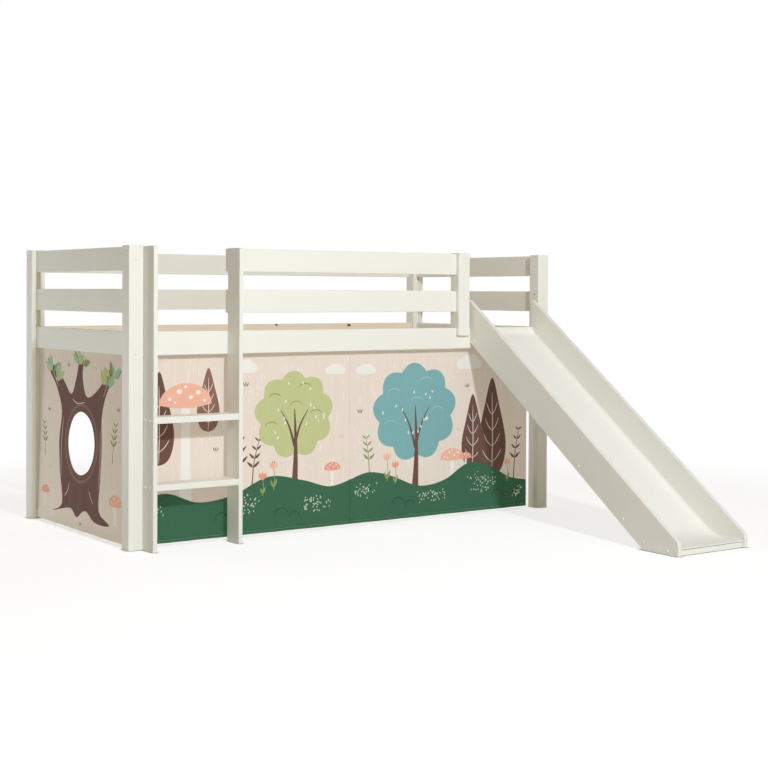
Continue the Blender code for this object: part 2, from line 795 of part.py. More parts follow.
board(
    "hook_tape_front",
    (front_start, front_tape_face, front_tape_top - TAPE_THICK),
    (front_end, front_tape_face + TAPE_WIDE, front_tape_top),
    tape_nylon,
    TAPE_ROUND,
)
board(
    "hook_tape_left",
    (side_tape_face, side_start, side_cloth_top - TAPE_WIDE),
    (side_tape_face + TAPE_THICK, side_end, side_cloth_top),
    tape_nylon,
    TAPE_ROUND,
)

# The origin: on the floor, under the middle of the bed with its slide and its proud caps
bed_frame = bpy.data.objects.new("loft_bed", None)
bpy.context.scene.collection.objects.link(bed_frame)
bed_frame.location = (-(BED_LENGTH - CAP_PROUD) / 2, -(BED_DEPTH + slide_front) / 2, 0.0)
for piece in bpy.data.objects:
    if piece != bed_frame:
        piece.parent = bed_frame
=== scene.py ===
# Loft bed with slide: lacquered pine, a laminate slide bed and a printed play curtain
import math
import random
import bmesh
import bpy
import numpy as np
from mathutils import Matrix, Vector, geometry, noise


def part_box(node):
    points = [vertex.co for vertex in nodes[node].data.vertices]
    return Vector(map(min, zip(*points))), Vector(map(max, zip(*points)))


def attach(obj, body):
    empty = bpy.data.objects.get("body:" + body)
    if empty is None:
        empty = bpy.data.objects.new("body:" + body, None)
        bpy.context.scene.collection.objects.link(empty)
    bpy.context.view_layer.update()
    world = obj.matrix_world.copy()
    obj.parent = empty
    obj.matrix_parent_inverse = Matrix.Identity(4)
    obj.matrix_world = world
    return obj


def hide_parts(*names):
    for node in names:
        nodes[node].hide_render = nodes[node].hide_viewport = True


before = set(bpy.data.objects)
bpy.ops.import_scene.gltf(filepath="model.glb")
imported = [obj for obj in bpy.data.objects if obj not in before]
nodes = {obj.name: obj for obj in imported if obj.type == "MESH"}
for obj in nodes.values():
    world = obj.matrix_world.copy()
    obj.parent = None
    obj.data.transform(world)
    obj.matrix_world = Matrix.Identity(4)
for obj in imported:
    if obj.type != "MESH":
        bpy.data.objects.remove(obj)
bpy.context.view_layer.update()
print("frame loaded:", len(nodes), "pieces")


# Colours are written as sRGB hex and turned to linear here
def paint(code):
    channels = [int(code[i:i + 2], 16) / 255 for i in (1, 3, 5)]
    linear = [c / 12.92 if c <= 0.04045 else ((c + 0.055) / 1.055) ** 2.4 for c in channels]
    return (*linear, 1.0)


# Adds a node, sets it up, and fills or links its inputs
def addNode(tree, kind, inputs=None, **settings):
    node = tree.nodes.new(kind)
    for name, value in settings.items():
        setattr(node, name, value)
    for socket, value in (inputs or {}).items():
        if isinstance(value, bpy.types.NodeSocket):
            tree.links.new(value, node.inputs[socket])
        else:
            node.inputs[socket].default_value = value
    return node


# The same, for its first output
def addOut(tree, kind, inputs=None, **settings):
    return addNode(tree, kind, inputs, **settings).outputs[0]


def startMaterial(name):
    material = bpy.data.materials.new(name)
    material.use_nodes = True
    material.node_tree.nodes.clear()
    return material, material.node_tree


def objectPlace(tree):
    return addNode(tree, "ShaderNodeTexCoord").outputs["Object"]


def mapRange(tree, value, low, high, toLow, toHigh, **settings):
    inputs = {"Value": value, 1: low, 2: high, 3: toLow, 4: toHigh}
    return addOut(tree, "ShaderNodeMapRange", inputs, **settings)


def mixColours(tree, share, first, second):
    inputs = {0: share, 6: first, 7: second}
    return addNode(tree, "ShaderNodeMix", inputs, data_type="RGBA").outputs[2]


def addNoise(tree, place, scale, detail, **more):
    inputs = {"Vector": place, "Scale": scale, "Detail": detail, **more}
    return addNode(tree, "ShaderNodeTexNoise", inputs).outputs["Fac"]


def addMapping(tree, place, location=(0, 0, 0), rotation=(0, 0, 0), scale=(1, 1, 1)):
    inputs = {0: place, 1: location, 2: rotation, 3: scale}
    return addOut(tree, "ShaderNodeMapping", inputs)


def addMath(tree, operation, first, second):
    return addOut(tree, "ShaderNodeMath", {0: first, 1: second}, operation=operation)


def addVectorMath(tree, operation, *values):
    inputs = dict(enumerate(values))
    return addNode(tree, "ShaderNodeVectorMath", inputs, operation=operation).outputs


def mixShaders(tree, share, first, second):
    return addOut(tree, "ShaderNodeMixShader", {0: share, 1: first, 2: second})


# Rays that come from the lens, straight or by way of gloss and glass
def seenRays(tree):
    path = addNode(tree, "ShaderNodeLightPath").outputs
    gloss = addMath(tree, "MAXIMUM", path["Is Camera Ray"], path["Is Glossy Ray"])
    return addMath(tree, "MAXIMUM", gloss, path["Is Transmission Ray"])


def addBump(tree, settings, height, under=None):
    inputs = {"Strength": settings[0], "Distance": settings[1], "Height": height}
    if under is not None:
        inputs["Normal"] = under
    return addOut(tree, "ShaderNodeBump", inputs)


def shineMaterial(tree, colour, roughness, bump):
    shader = addNode(
        tree, "ShaderNodeBsdfPrincipled",
        {"Base Color": colour, "Roughness": roughness, "IOR": 1.5, "Normal": bump},
    )
    addNode(tree, "ShaderNodeOutputMaterial", {0: shader.outputs[0]})


def showObject(name, data, material=None):
    shown = bpy.data.objects.new(name, data)
    bpy.context.scene.collection.objects.link(shown)
    if material:
        data.materials.append(material)
    return shown


# The camera stands where the photograph was taken from
camera = {
    "place": (-3.4633, -4.8598, 0.9753),
    "yaw": 34.6343,
    "pitch": -0.8152,
    "roll": 0.2783,
    "lens": 68.398,
    "sensor": 36.0,
    "shift": (0.04068, -0.0920),
    "clip": (0.05, 100.0),
}


def placeCamera(settings):
    yaw, pitch, roll = (math.radians(settings[k]) for k in ("yaw", "pitch", "roll"))
    ahead = Vector((math.sin(yaw), math.cos(yaw), 0.0))
    side = Vector((math.cos(yaw), -math.sin(yaw), 0.0))
    up = Vector((0.0, 0.0, 1.0))
    view = ahead * math.cos(pitch) + up * math.sin(pitch)
    top = up * math.cos(pitch) - ahead * math.sin(pitch)
    right = side * math.cos(roll) + top * math.sin(roll)
    upright = top * math.cos(roll) - side * math.sin(roll)
    data = bpy.data.cameras.new("photo_camera")
    data.lens = settings["lens"]
    data.sensor_width = settings["sensor"]
    data.shift_x, data.shift_y = settings["shift"]
    data.clip_start, data.clip_end = settings["clip"]
    stand = showObject("photo_camera", data)
    turned = Matrix((right, upright, -view)).transposed().to_4x4()
    stand.matrix_world = Matrix.Translation(settings["place"]) @ turned
    bpy.context.scene.camera = stand


placeCamera(camera)
print("camera placed")


# Satin lacquer, sprayed on sanded pine: an even cream white, with the grain just felt through it
lacquer = {
    "colour": "#F3F2E8",
    "lowColour": "#EFEEE2",
    "grainLong": 0.260,
    "grainWide": 0.0045,
    "orangePeel": 0.0028,
    "cloudWide": 0.35,
    "roughness": 0.42,
    "roughnessDrift": 0.05,
    "grainShow": (0.35, 0.65, 0.35, 1.0),   # from this span of the noise to that one
    "grainBump": (0.16, 0.0003),   # strength, and depth in metres
    "peelBump": (0.08, 0.0002),
}
# The slide's left panel has a warmer copy of the lacquer: painted warm bounce light on its outer
# face
bounceLitLacquer = dict(lacquer, colour="#F3EFE4", lowColour="#EFEBDE")
slideSlope = math.radians(36.0)
# how the grain is turned, for pieces that lie along the bed, across it, stand or slope
turnLong, turnDeep = (0.0, 0.0, 0.0), (0.0, 0.0, -math.pi / 2)
turnUpright, turnSlope = (0.0, math.pi / 2, 0.0), (-slideSlope, 0.0, -math.pi / 2)


def makeLacquer(name, turn, coat=lacquer):
    material, tree = startMaterial(name)
    place = objectPlace(tree)
    turned = addMapping(tree, place, rotation=turn)
    long, wide = 1 / coat["grainLong"], 1 / coat["grainWide"]
    stretched = addMapping(tree, turned, scale=(long, wide, wide))
    grain = addNoise(tree, stretched, 0.5, 4.0, Roughness=0.55, Distortion=0.5)
    cloud = addNoise(tree, place, 1 / coat["cloudWide"], 2.0)
    peel = addNoise(tree, place, 1 / coat["orangePeel"], 1.0)
    toned = mixColours(tree, cloud, paint(coat["lowColour"]), paint(coat["colour"]))
    grainShare = mapRange(tree, grain, *coat["grainShow"])
    grained = mixColours(tree, grainShare, toned, paint(coat["colour"]))
    rough, drift = coat["roughness"], coat["roughnessDrift"]
    roughness = mapRange(tree, grain, 0.3, 0.7, rough - drift, rough + drift)
    bump = addBump(tree, coat["peelBump"], peel, addBump(tree, coat["grainBump"], grain))
    shineMaterial(tree, grained, roughness, bump)
    return material


lacquerLong = makeLacquer("satin_lacquer_on_pine_long", turnLong)
lacquerDeep = makeLacquer("satin_lacquer_on_pine_deep", turnDeep)
lacquerUpright = makeLacquer("satin_lacquer_on_pine_upright", turnUpright)
lacquerSlope = makeLacquer("satin_lacquer_on_pine_slope", turnSlope)
lacquerBounceLit = makeLacquer("satin_lacquer_painted_bounce_light_slope", turnSlope, bounceLitLacquer)


# Pressed melamine laminate on thin board: whiter and smoother than the lacquer, fine slide marks
laminate = {
    "colour": "#FAFAF3",
    "lowColour": "#F8F8F1",
    "scuffLong": 0.180,
    "scuffWide": 0.0012,
    "roughness": (0.29, 0.34),
    "bump": (0.005, 0.0001),
}


def makeLaminate():
    material, tree = startMaterial("white_melamine_laminate")
    place = objectPlace(tree)
    turned = addMapping(tree, place, rotation=turnSlope)
    long, wide = 1 / laminate["scuffLong"], 1 / laminate["scuffWide"]
    stretched = addMapping(tree, turned, scale=(long, wide, long))
    scuff = addNoise(tree, stretched, 0.6, 5.0)
    colour = mixColours(tree, scuff, paint(laminate["lowColour"]), paint(laminate["colour"]))
    roughness = mapRange(tree, scuff, 0.35, 0.75, *laminate["roughness"])
    shineMaterial(tree, colour, roughness, addBump(tree, laminate["bump"], scuff))
    return material


# Planed pine, left bare: pale tan early wood, thin darker late wood lines, a knot here and there
pine = {
    "earlyWood": "#F2E8D6",
    "lateWood": "#E2CDB0",
    "knotRing": "#A4835C",
    "knotCore": "#40362A",
    "knotStretch": (0.55, 0.2, 1.0),
    "ringWide": 0.0042,
    "ringStretch": 0.035,
    "pithOffset": (0.0, 0.031, -0.087),
    "fibre": (14.0, 1400.0, 1400.0),
    "lateShow": (0.45, 1.0, 0.0, 0.8),
    "poreShow": (0.4, 0.7, 0.0, 0.25),
    "roughness": 0.62,
    "bump": (0.3, 0.0003),
}
# place and size of each knot
backBeamKnots = [(0.1837, 1.059, 0.8205, 0.0058), (0.6020, 1.059, 0.8150, 0.0075)]


def makePine(name, turn, knots):
    material, tree = startMaterial(name)
    place = objectPlace(tree)
    turned = addMapping(tree, place, rotation=turn)
    stretch = (pine["ringStretch"], 1.0, 1.0)
    rings = addNode(
        tree, "ShaderNodeTexWave",
        {
            "Vector": addMapping(tree, turned, location=pine["pithOffset"], scale=stretch),
            "Scale": math.pi / (10 * pine["ringWide"]), "Distortion": 5.0,
            "Detail": 2.0, "Detail Scale": 0.35, "Detail Roughness": 0.5,
        },
        wave_type="RINGS", rings_direction="X", wave_profile="SAW",
    ).outputs["Fac"]
    pores = addNoise(tree, addMapping(tree, turned, scale=pine["fibre"]), 1.0, 3.0)
    late = mapRange(tree, rings, *pine["lateShow"])
    wood = mixColours(tree, late, paint(pine["earlyWood"]), paint(pine["lateWood"]))
    poreShare = mapRange(tree, pores, *pine["poreShow"])
    wood = mixColours(tree, poreShare, wood, paint(pine["lateWood"]))
    for x, y, z, size in knots:
        reach = addVectorMath(tree, "SUBTRACT", place, (x, y, z))[0]
        stretched = addVectorMath(tree, "MULTIPLY", reach, pine["knotStretch"])[0]
        far = addVectorMath(tree, "LENGTH", stretched)["Value"]
        for edge, colour in ((1.0, "knotRing"), (0.62, "knotCore")):
            share = mapRange(tree, far, size * edge * 0.75, size * edge, 1.0, 0.0)
            wood = mixColours(tree, share, wood, paint(pine[colour]))
    shineMaterial(tree, wood, pine["roughness"], addBump(tree, pine["bump"], pores))
    return material


# Moulded plastic caps: smooth, bright white, a fine moulded grain, painted shade round the seam
capPlastic = {
    "colour": "#FFFFFE", "grain": 0.0009, "roughness": 0.33, "bump": 0.05,
    "seamShadePaint": "#A9A493", "seamShow": (0.84, 0.89, 1.0, 0.0), "endShare": 1.06,
}
# Screw caps: the same white plastic without the painted seam shade, rounder, so that each catches a
# point of light
screwCapPlastic = {"colour": "#FFFFFE", "grain": 0.0009, "roughness": 0.28, "bump": 0.05}
# Woven nylon hook tape: off-white, with rows of tiny hooks
hookTape = {"colour": "#DED8CC", "grain": 0.0016, "roughness": 0.75, "bump": 0.6}
# A bored hole without its cap: a flat disc whose dark colour is painted shade, raw wood in shade
boredHole = {"colour": "#3A342C", "grain": 0.0012, "roughness": 0.9, "bump": 0.3}
# Spun cotton thread, two-ply: pale, slightly fuzzy
cottonThread = {"colour": "#D9CFC0", "grain": 0.0005, "roughness": 0.8, "bump": 0.4}
# how far the grain of each changes its tone
mottle = (0.3, 0.7, 0.96, 1.02)


def makeSmall(name, settings):
    material, tree = startMaterial(name)
    place = objectPlace(tree)
    grain = addNoise(tree, place, 1 / settings["grain"], 2.0)
    value = mapRange(tree, grain, *mottle)
    colour = addOut(
        tree, "ShaderNodeHueSaturation", {"Value": value, "Color": paint(settings["colour"])}
    )
    if "seamShadePaint" in settings:
        # painted shade: the colour darkens where the dome turns steep at its seam, and less on the
        # caps on the ends
        facing = addNode(tree, "ShaderNodeNewGeometry").outputs["Normal"]
        size = addVectorMath(tree, "MULTIPLY", facing, (settings["endShare"], 1.0, 0.0))[0]
        size = addVectorMath(tree, "ABSOLUTE", size)[0]
        part = addNode(tree, "ShaderNodeSeparateXYZ", {0: size}).outputs
        level = addMath(tree, "MAXIMUM", part[0], part[1])
        paintedSeamShade = mapRange(tree, level, *settings["seamShow"])
        colour = mixColours(tree, paintedSeamShade, colour, paint(settings["seamShadePaint"]))
    bump = addBump(tree, (settings["bump"], settings["grain"] * 0.3), grain)
    shineMaterial(tree, colour, settings["roughness"], bump)
    return material


laminateSheet = makeLaminate()
pineLong = makePine("planed_pine_long", turnLong, backBeamKnots)
pineDeep = makePine("planed_pine_deep", turnDeep, [])
whiteCap = makeSmall("moulded_cap_plastic_painted_seam_shade", capPlastic)
capWithoutSeamShade = makeSmall("cap_plastic_without_seam_shade", screwCapPlastic)
tapeNylon = makeSmall("woven_hook_tape", hookTape)
darkHole = makeSmall("bored_hole_in_shade", boredHole)
sewingThread = makeSmall("spun_sewing_thread", cottonThread)

finishes = {
    lacquerUpright: ("post_", "guard_post", "ladder_stringer"),
    lacquerDeep: ("end_board",),
    lacquerLong: (
        "side_rail", "back_board", "guard_board", "ladder_rung", "slide_foot_bar", "slide_batten",
    ),
    # the slide's left panel takes the copy with painted warm bounce light
    lacquerBounceLit: ("slide_side_left",),
    lacquerSlope: ("slide_side_right",),
    laminateSheet: ("slide_bed",),
    pineLong: ("slat_beam", "slat_ledger"),
    pineDeep: ("slat_0", "slat_1"),
    whiteCap: ("cap_",),
    tapeNylon: ("hook_tape",),
}
for name, node in nodes.items():
    for finish, starts in finishes.items():
        if name.startswith(starts):
            node.material_slots[0].material = finish
print("finishes assigned")


# Small shapes for the print, as outlines on the flat cloth, in metres from its lower left corner
def smoothLine(points, closed=False, steps=5):
    count = len(points)
    spans = count if closed else count - 1
    line = []
    for i in range(spans):
        if closed:
            four = [Vector(points[(i + j - 1) % count]) for j in range(4)]
        else:
            four = [Vector(points[min(max(i + j - 1, 0), count - 1)]) for j in range(4)]
        a, b, c, d = four
        for step in range(steps):
            t = step / steps
            bend = (2 * a - 5 * b + 4 * c - d) * t * t + (3 * b - a - 3 * c + d) * t ** 3
            line.append(tuple((2 * b + (c - a) * t + bend) / 2))
    if not closed:
        line.append(tuple(points[-1]))
    return line


# Points given as shares of a motif's width and height, from its foot
def scaled(points, x, y, wide, high):
    return [(x + across * wide, y + up * high) for across, up in points]


def oval(x, y, wide, high=None, turn=0.0, count=20):
    high = wide if high is None else high
    outline = []
    for i in range(count):
        angle = 2 * math.pi * i / count
        across, up = wide * math.cos(angle), high * math.sin(angle)
        outline.append((
            x + across * math.cos(turn) - up * math.sin(turn),
            y + across * math.sin(turn) + up * math.cos(turn),
        ))
    return outline


# A brush line that is thickest in the middle or at its start
def stroke(points, wide, tips=(0.3, 0.3), steps=5):
    line = [Vector(p) for p in smoothLine(points, steps=steps)]
    left, right = [], []
    for i, point in enumerate(line):
        ahead = line[min(i + 1, len(line) - 1)] - line[max(i - 1, 0)]
        normal = Vector((-ahead.y, ahead.x)).normalized()
        share = i / (len(line) - 1)
        start = min(1.0, tips[0] + (1 - tips[0]) * share * 4)
        end = min(1.0, tips[1] + (1 - tips[1]) * (1 - share) * (4 if tips[0] < 1 else 1))
        reach = normal * wide / 2 * min(start, end)
        left.append(tuple(point + reach))
        right.append(tuple(point - reach))
    return left + right[::-1]


def leaf(x, y, long, wide, turn):
    tip = Vector((math.cos(turn), math.sin(turn))) * long
    side = Vector((-math.sin(turn), math.cos(turn))) * wide / 2
    base = Vector((x, y))
    knees = [base, base + tip * 0.35 + side, base + tip * 0.75 + side * 0.6, base + tip]
    knees += [base + tip * 0.75 - side * 0.6, base + tip * 0.35 - side]
    return [tuple(k) for k in knees]


# Widths of the drawn lines, in metres
pens = {
    "reed": 0.006, "spine": 0.0036, "vein": 0.003, "arc": 0.0042, "arm": 0.013, "trunk": 0.034,
    "stem": 0.004, "fine": 0.0034,
}
# Inks of the print. The ground is unprinted sand cotton
inks = {
    "sand": "#E8DCD0",
    "chalk": "#F4EEE6",
    "white": "#EFEDE6",
    "green": "#34654A",
    "fleck": "#D6E2CC",
    "sage": "#C1C78F",
    "olive": "#8E9C62",
    "teal": "#7BAEB1",
    "mint": "#9AC6B4",
    "salmon": "#EFB7A0",
    "coral": "#E59E86",
    "brown": "#6A4A41",
    "cocoa": "#8A675A",
    "charcoal": "#33383A",
}


def cloud(x, y, size):
    puffs = [(-0.62, 0.0, 0.30), (-0.25, 0.16, 0.36), (0.2, 0.12, 0.40), (0.6, 0.0, 0.28)]
    shapes = [("white", oval(x + a * size, y + b * size, c * size)) for a, b, c in puffs]
    return [*shapes, ("white", oval(x, y - 0.1 * size, 0.85 * size, 0.2 * size))]


def disc(x, y, size, ink):
    return [(ink, oval(x, y, size, count=32))]


def sprig(x, y, size, turn=0.0, ink="charcoal"):
    shapes = []
    for angle in (-0.5, 0.0, 0.5):
        a = math.pi / 2 + angle + turn
        foot = (x + 0.35 * size * math.sin(-angle), y)
        shapes.append((ink, leaf(*foot, size, size * 0.2, a)))
    return shapes


def reed(x, y, high, lean, ink, pairs=4):
    tip = (x + lean, y + high)
    middle = (x + lean * 0.3, y + high * 0.55)
    shapes = [(ink, stroke([(x, y), middle, tip], pens["reed"], (1.0, 0.3)))]
    for i in range(1, pairs + 1):
        share = 0.25 + 0.7 * i / pairs
        px, py = x + lean * share * share, y + high * share
        long = 0.045 * (1.15 - share * 0.6)
        for side in (-1, 1):
            shapes.append((ink, leaf(px, py, long, long * 0.3, math.pi / 2 - side * 0.85)))
    return shapes


# place and radius, as shares of the cap's width
toadstoolDots = [
    (-0.3, 0.1, 0.035), (-0.12, 0.22, 0.05), (0.1, 0.12, 0.04), (0.24, 0.2, 0.045),
    (0.36, 0.06, 0.03), (0.0, 0.3, 0.03), (-0.2, 0.04, 0.025),
]


def toadstool(x, y, wide, high, cap):
    top = y + high
    foot = [(-0.13, 0.0), (-0.09, 0.4), (-0.08, 1.0), (0.08, 1.0), (0.09, 0.4), (0.13, 0.0)]
    dome = []
    for i in range(21):
        angle = math.pi * i / 20
        dome.append((x + 0.5 * wide * math.cos(angle), top + 0.36 * wide * math.sin(angle)))
    rim = scaled([(-0.25, -0.05), (0.0, -0.065), (0.25, -0.05)], x, top, wide, wide)
    shapes = [("white", scaled(foot, x, y, wide, high)), (cap, dome + rim)]
    for a, b, share in toadstoolDots:
        size = share * wide
        shapes.append(("chalk", oval(x + a * wide, top + b * wide, size, size * 0.85, count=12)))
    return shapes


# A tall drop-shaped tree with pale veins
def dropTree(x, y, wide, high, ink):
    outline = [
        (0.0, 1.0), (0.26, 0.72), (0.5, 0.34), (0.36, 0.08),
        (0.0, 0.0), (-0.36, 0.08), (-0.5, 0.34), (-0.26, 0.72),
    ]
    spine = [(0.0, 0.02), (0.02, 0.4), (0.0, 0.85)]
    shapes = [
        (ink, smoothLine(scaled(outline, x, y, wide, high), closed=True)),
        ("sand", stroke(scaled(spine, x, y, wide, high), pens["spine"])),
    ]
    for i in range(4):
        level = y + high * (0.14 + 0.16 * i)
        reach = wide * (0.34 - 0.05 * i)
        for side in (-1, 1):
            branch = [(x, level), (x + side * reach * 0.55, level + 0.05 * high)]
            branch.append((x + side * reach, level + 0.13 * high))
            shapes.append(("sand", stroke(branch, pens["vein"])))
    return shapes


# A round tree: a forked trunk, a scalloped crown, arcs and leaves drawn on it
def roundTree(x, y, wide, high, crown, arcInk, seed):
    pick = random.Random(seed)
    middle = y + high - 0.5 * wide
    shapes = []
    edge = []
    for i in range(144):
        angle = 2 * math.pi * i / 144
        out = wide * (0.43 + 0.07 * abs(math.sin(4.5 * angle + 0.6)))
        edge.append((x + out * math.cos(angle), middle + 0.94 * out * math.sin(angle)))
    shapes.append((crown, edge))
    for a, b in ((-0.25, 0.17), (0.13, 0.27), (0.27, -0.02), (-0.29, -0.13), (0.02, 0.08)):
        arc = []
        for turn in (0.4, 1.0, 1.6, 2.2, 2.8):
            arc.append((a + 0.085 * math.cos(turn), b + 0.06 * math.sin(turn)))
        shapes.append((arcInk, stroke(scaled(arc, x, middle, wide, wide), pens["arc"])))
    for fork in (-1, 1):
        arm = scaled(
            [(0.0, -0.34), (fork * 0.07, -0.12), (fork * 0.17, 0.05)], x, middle, wide, wide
        )
        shapes.append(("brown", stroke(arm, pens["arm"], (1.0, 0.2))))
    trunk = [(x, y), (x + 0.006, (y + middle) / 2), (x, middle + 0.06 * wide)]
    shapes.append(("brown", stroke(trunk, pens["trunk"], (1.0, 0.1))))
    for i in range(16):
        angle = pick.uniform(0, 2 * math.pi)
        out = pick.uniform(0.15, 0.40) * wide
        px, py = x + out * math.cos(angle), middle + out * 0.85 * math.sin(angle)
        shapes.append(("chalk", leaf(px, py, 0.017, 0.007, pick.uniform(0.9, 2.2))))
    return shapes


# A tulip's cup, from the top of its stem
tulipCup = [
    (-0.016, 0.030), (-0.019, 0.010), (0.0, -0.004), (0.019, 0.010), (0.016, 0.030),
    (0.007, 0.018), (0.0, 0.033), (-0.007, 0.018),
]


def tulip(x, y, high, ink):
    stem = [(x, y), (x + 0.004, y + high * 0.6), (x, y + high)]
    shapes = [("olive", stroke(stem, pens["stem"], (1.0, 0.6)))]
    shapes.append(("olive", leaf(x, y + 0.1 * high, high * 0.5, 0.012, 1.15)))
    shapes.append(("olive", leaf(x, y + 0.1 * high, high * 0.42, 0.011, 2.0)))
    return [*shapes, (ink, scaled(tulipCup, x, y + high, 1.0, 1.0))]


def rolling(points, wide):
    return [("green", [(0.0, 0.0), *smoothLine(points, steps=8), (wide, 0.0)])]


# Short upright dashes over the sand, and flecks in patches on the green
def drizzle(wide, low, high, count, seed):
    pick = random.Random(seed)
    shapes = []
    for _ in range(count):
        x, y = pick.uniform(0.012, wide - 0.012), pick.uniform(low, high - 0.05)
        long = pick.uniform(0.012, 0.045)
        thin = pick.uniform(0.0011, 0.0019)
        shapes.append(("chalk", oval(x, y + long / 2, thin, long / 2, count=8)))
    return shapes


def flecks(x, y, wide, high, count, seed):
    pick = random.Random(seed)
    shapes = []
    for _ in range(count):
        px = x + wide * (pick.random() + pick.random() - 1)
        py = y + high * (pick.random() + pick.random() - 1)
        turn = pick.uniform(0.6, 2.5)
        shapes.append(("fleck", oval(px, py, 0.0042, 0.0019, turn, count=6)))
    return shapes


def stones(x, y, size):
    shapes = []
    for a, reach in ((0.0, 1.0), (0.9, 0.62)):
        arch = []
        for out, up in ((-0.5, 0.0), (-0.42, 0.42), (0.0, 0.62), (0.4, 0.4), (0.55, 0.0)):
            arch.append((x + (a + out * reach) * size, y + up * reach * size))
        shapes.append(("charcoal", stroke(arch, pens["fine"])))
    return shapes


# Rows of a motif and its settings, drawn from the back to the front
def drawMotifs(rows):
    shapes = []
    for motif, *settings in rows:
        shapes += motif(*settings)
    return shapes


def leftPrint(wide, high):
    hill = [(0.0, 0.17), (0.12, 0.19), (0.26, 0.145), (0.42, 0.165), (0.58, 0.225), (0.74, 0.20)]
    hill += [(0.87, 0.165), (wide, 0.185)]
    return drawMotifs([
        (drizzle, wide, 0.2, high, 130, 11),
        (dropTree, 0.085, 0.30, 0.13, 0.36, "brown"), (dropTree, 0.30, 0.42, 0.10, 0.25, "cocoa"),
        (cloud, 0.46, 0.665, 0.07), (cloud, 0.90, 0.645, 0.055),
        (reed, 0.455, 0.17, 0.30, -0.03, "brown", 5), (reed, 0.50, 0.18, 0.20, 0.035, "brown"),
        (roundTree, 0.70, 0.16, 0.38, 0.50, "sage", "olive", 5),
        (toadstool, 0.20, 0.12, 0.23, 0.41, "salmon"),
        (toadstool, 0.885, 0.15, 0.085, 0.085, "coral"),
        (rolling, hill, wide),
        (sprig, 0.47, 0.59, 0.022), (sprig, 0.60, 0.27, 0.02, 0.4),
        (sprig, 0.93, 0.36, 0.022, 0.0, "salmon"), (sprig, 0.33, 0.34, 0.02, -0.3),
        (flecks, 0.48, 0.12, 0.06, 0.045, 34, 21), (flecks, 0.80, 0.10, 0.09, 0.04, 46, 22),
        (flecks, 0.06, 0.11, 0.05, 0.04, 26, 23),
        (stones, 0.36, 0.06, 0.06), (stones, 0.64, 0.05, 0.07),
        (tulip, 0.60, 0.17, 0.085, "salmon"), (tulip, 0.55, 0.15, 0.065, "coral"),
    ])


def rightPrint(wide, high):
    hill = [(0.0, 0.185), (0.10, 0.21), (0.22, 0.185), (0.36, 0.135), (0.50, 0.15), (0.63, 0.215)]
    hill += [(0.75, 0.20), (0.87, 0.14), (wide, 0.12)]
    return drawMotifs([
        (drizzle, wide, 0.2, high, 130, 12),
        (cloud, 0.08, 0.64, 0.055), (cloud, 0.64, 0.655, 0.08), (disc, 0.83, 0.64, 0.042, "salmon"),
        (dropTree, 0.66, 0.19, 0.13, 0.33, "brown"), (dropTree, 0.77, 0.15, 0.16, 0.44, "brown"),
        (roundTree, 0.34, 0.13, 0.45, 0.55, "teal", "mint", 9),
        (reed, 0.90, 0.12, 0.24, 0.03, "brown"), (reed, 0.10, 0.19, 0.17, -0.02, "olive"),
        (toadstool, 0.545, 0.13, 0.13, 0.11, "salmon"),
        (toadstool, 0.62, 0.17, 0.07, 0.07, "coral"),
        (rolling, hill, wide),
        (tulip, 0.19, 0.165, 0.09, "salmon"), (tulip, 0.235, 0.15, 0.07, "coral"),
        (tulip, 0.86, 0.12, 0.075, "salmon"),
        (sprig, 0.05, 0.46, 0.022), (sprig, 0.63, 0.55, 0.022, 0.3),
        (sprig, 0.90, 0.58, 0.022, -0.3), (sprig, 0.58, 0.36, 0.02, 0.0, "salmon"),
        (flecks, 0.08, 0.13, 0.06, 0.04, 34, 31), (flecks, 0.43, 0.09, 0.09, 0.03, 42, 32),
        (flecks, 0.72, 0.13, 0.09, 0.05, 52, 33), (flecks, 0.92, 0.07, 0.04, 0.03, 22, 34),
        (stones, 0.25, 0.05, 0.07), (stones, 0.80, 0.05, 0.06),
    ])


# A hollow trunk round the peephole, and lines of bark, all as steps out from the hole's middle
def hollowTree(x, y):
    trunk = [
        (-0.26, 0.05), (-0.17, 0.09), (-0.20, 0.22), (-0.215, y), (-0.20, 0.47), (-0.25, 0.56),
        (-0.33, 0.63), (-0.30, 0.66), (-0.19, 0.60), (-0.11, 0.545), (-0.06, 0.62), (-0.03, 0.70),
        (0.01, 0.695), (0.0, 0.62), (0.05, 0.54), (0.16, 0.585), (0.25, 0.66), (0.28, 0.635),
        (0.22, 0.55), (0.19, 0.46), (0.20, y), (0.195, 0.22), (0.19, 0.10), (0.29, 0.055),
        (0.15, 0.05), (0.06, 0.085), (-0.02, 0.05), (-0.09, 0.08),
    ]
    bark = [
        [(-0.185, 0.20), (-0.195, 0.33), (-0.18, 0.45)],
        [(0.178, 0.18), (0.186, 0.30), (0.176, 0.42)],
        [(-0.10, 0.525), (-0.04, 0.51), (0.03, 0.52)],
        [(-0.15, 0.12), (-0.12, 0.15), (-0.11, 0.18)],
        [(0.13, 0.12), (0.10, 0.15), (0.09, 0.17)],
        [(-0.24, 0.57), (-0.28, 0.61), (-0.30, 0.635)],
        [(0.20, 0.55), (0.23, 0.60), (0.255, 0.635)],
    ]
    shapes = [
        ("brown", smoothLine(scaled(trunk, x, 0.0, 1.0, 1.0), closed=True, steps=4)),
        ("cocoa", oval(x, y, 0.158, 0.162, count=48)),
        ("brown", oval(x, y, 0.146, 0.150, count=48)),
    ]
    for line in bark:
        shapes.append(("sand", stroke(scaled(line, x, 0.0, 1.0, 1.0), pens["fine"])))
    pick = random.Random(41)
    for out, py in ((-0.32, 0.63), (-0.02, 0.67), (0.27, 0.63), (-0.25, 0.60), (0.21, 0.60)):
        for ink in ("sage", "olive", "mint", "sage", "olive", "mint", "sage"):
            turn = pick.uniform(0.1, 3.0)
            px = x + out + pick.uniform(-0.03, 0.03)
            shapes.append((ink, leaf(px, py, 0.072, 0.030, turn)))
    return shapes


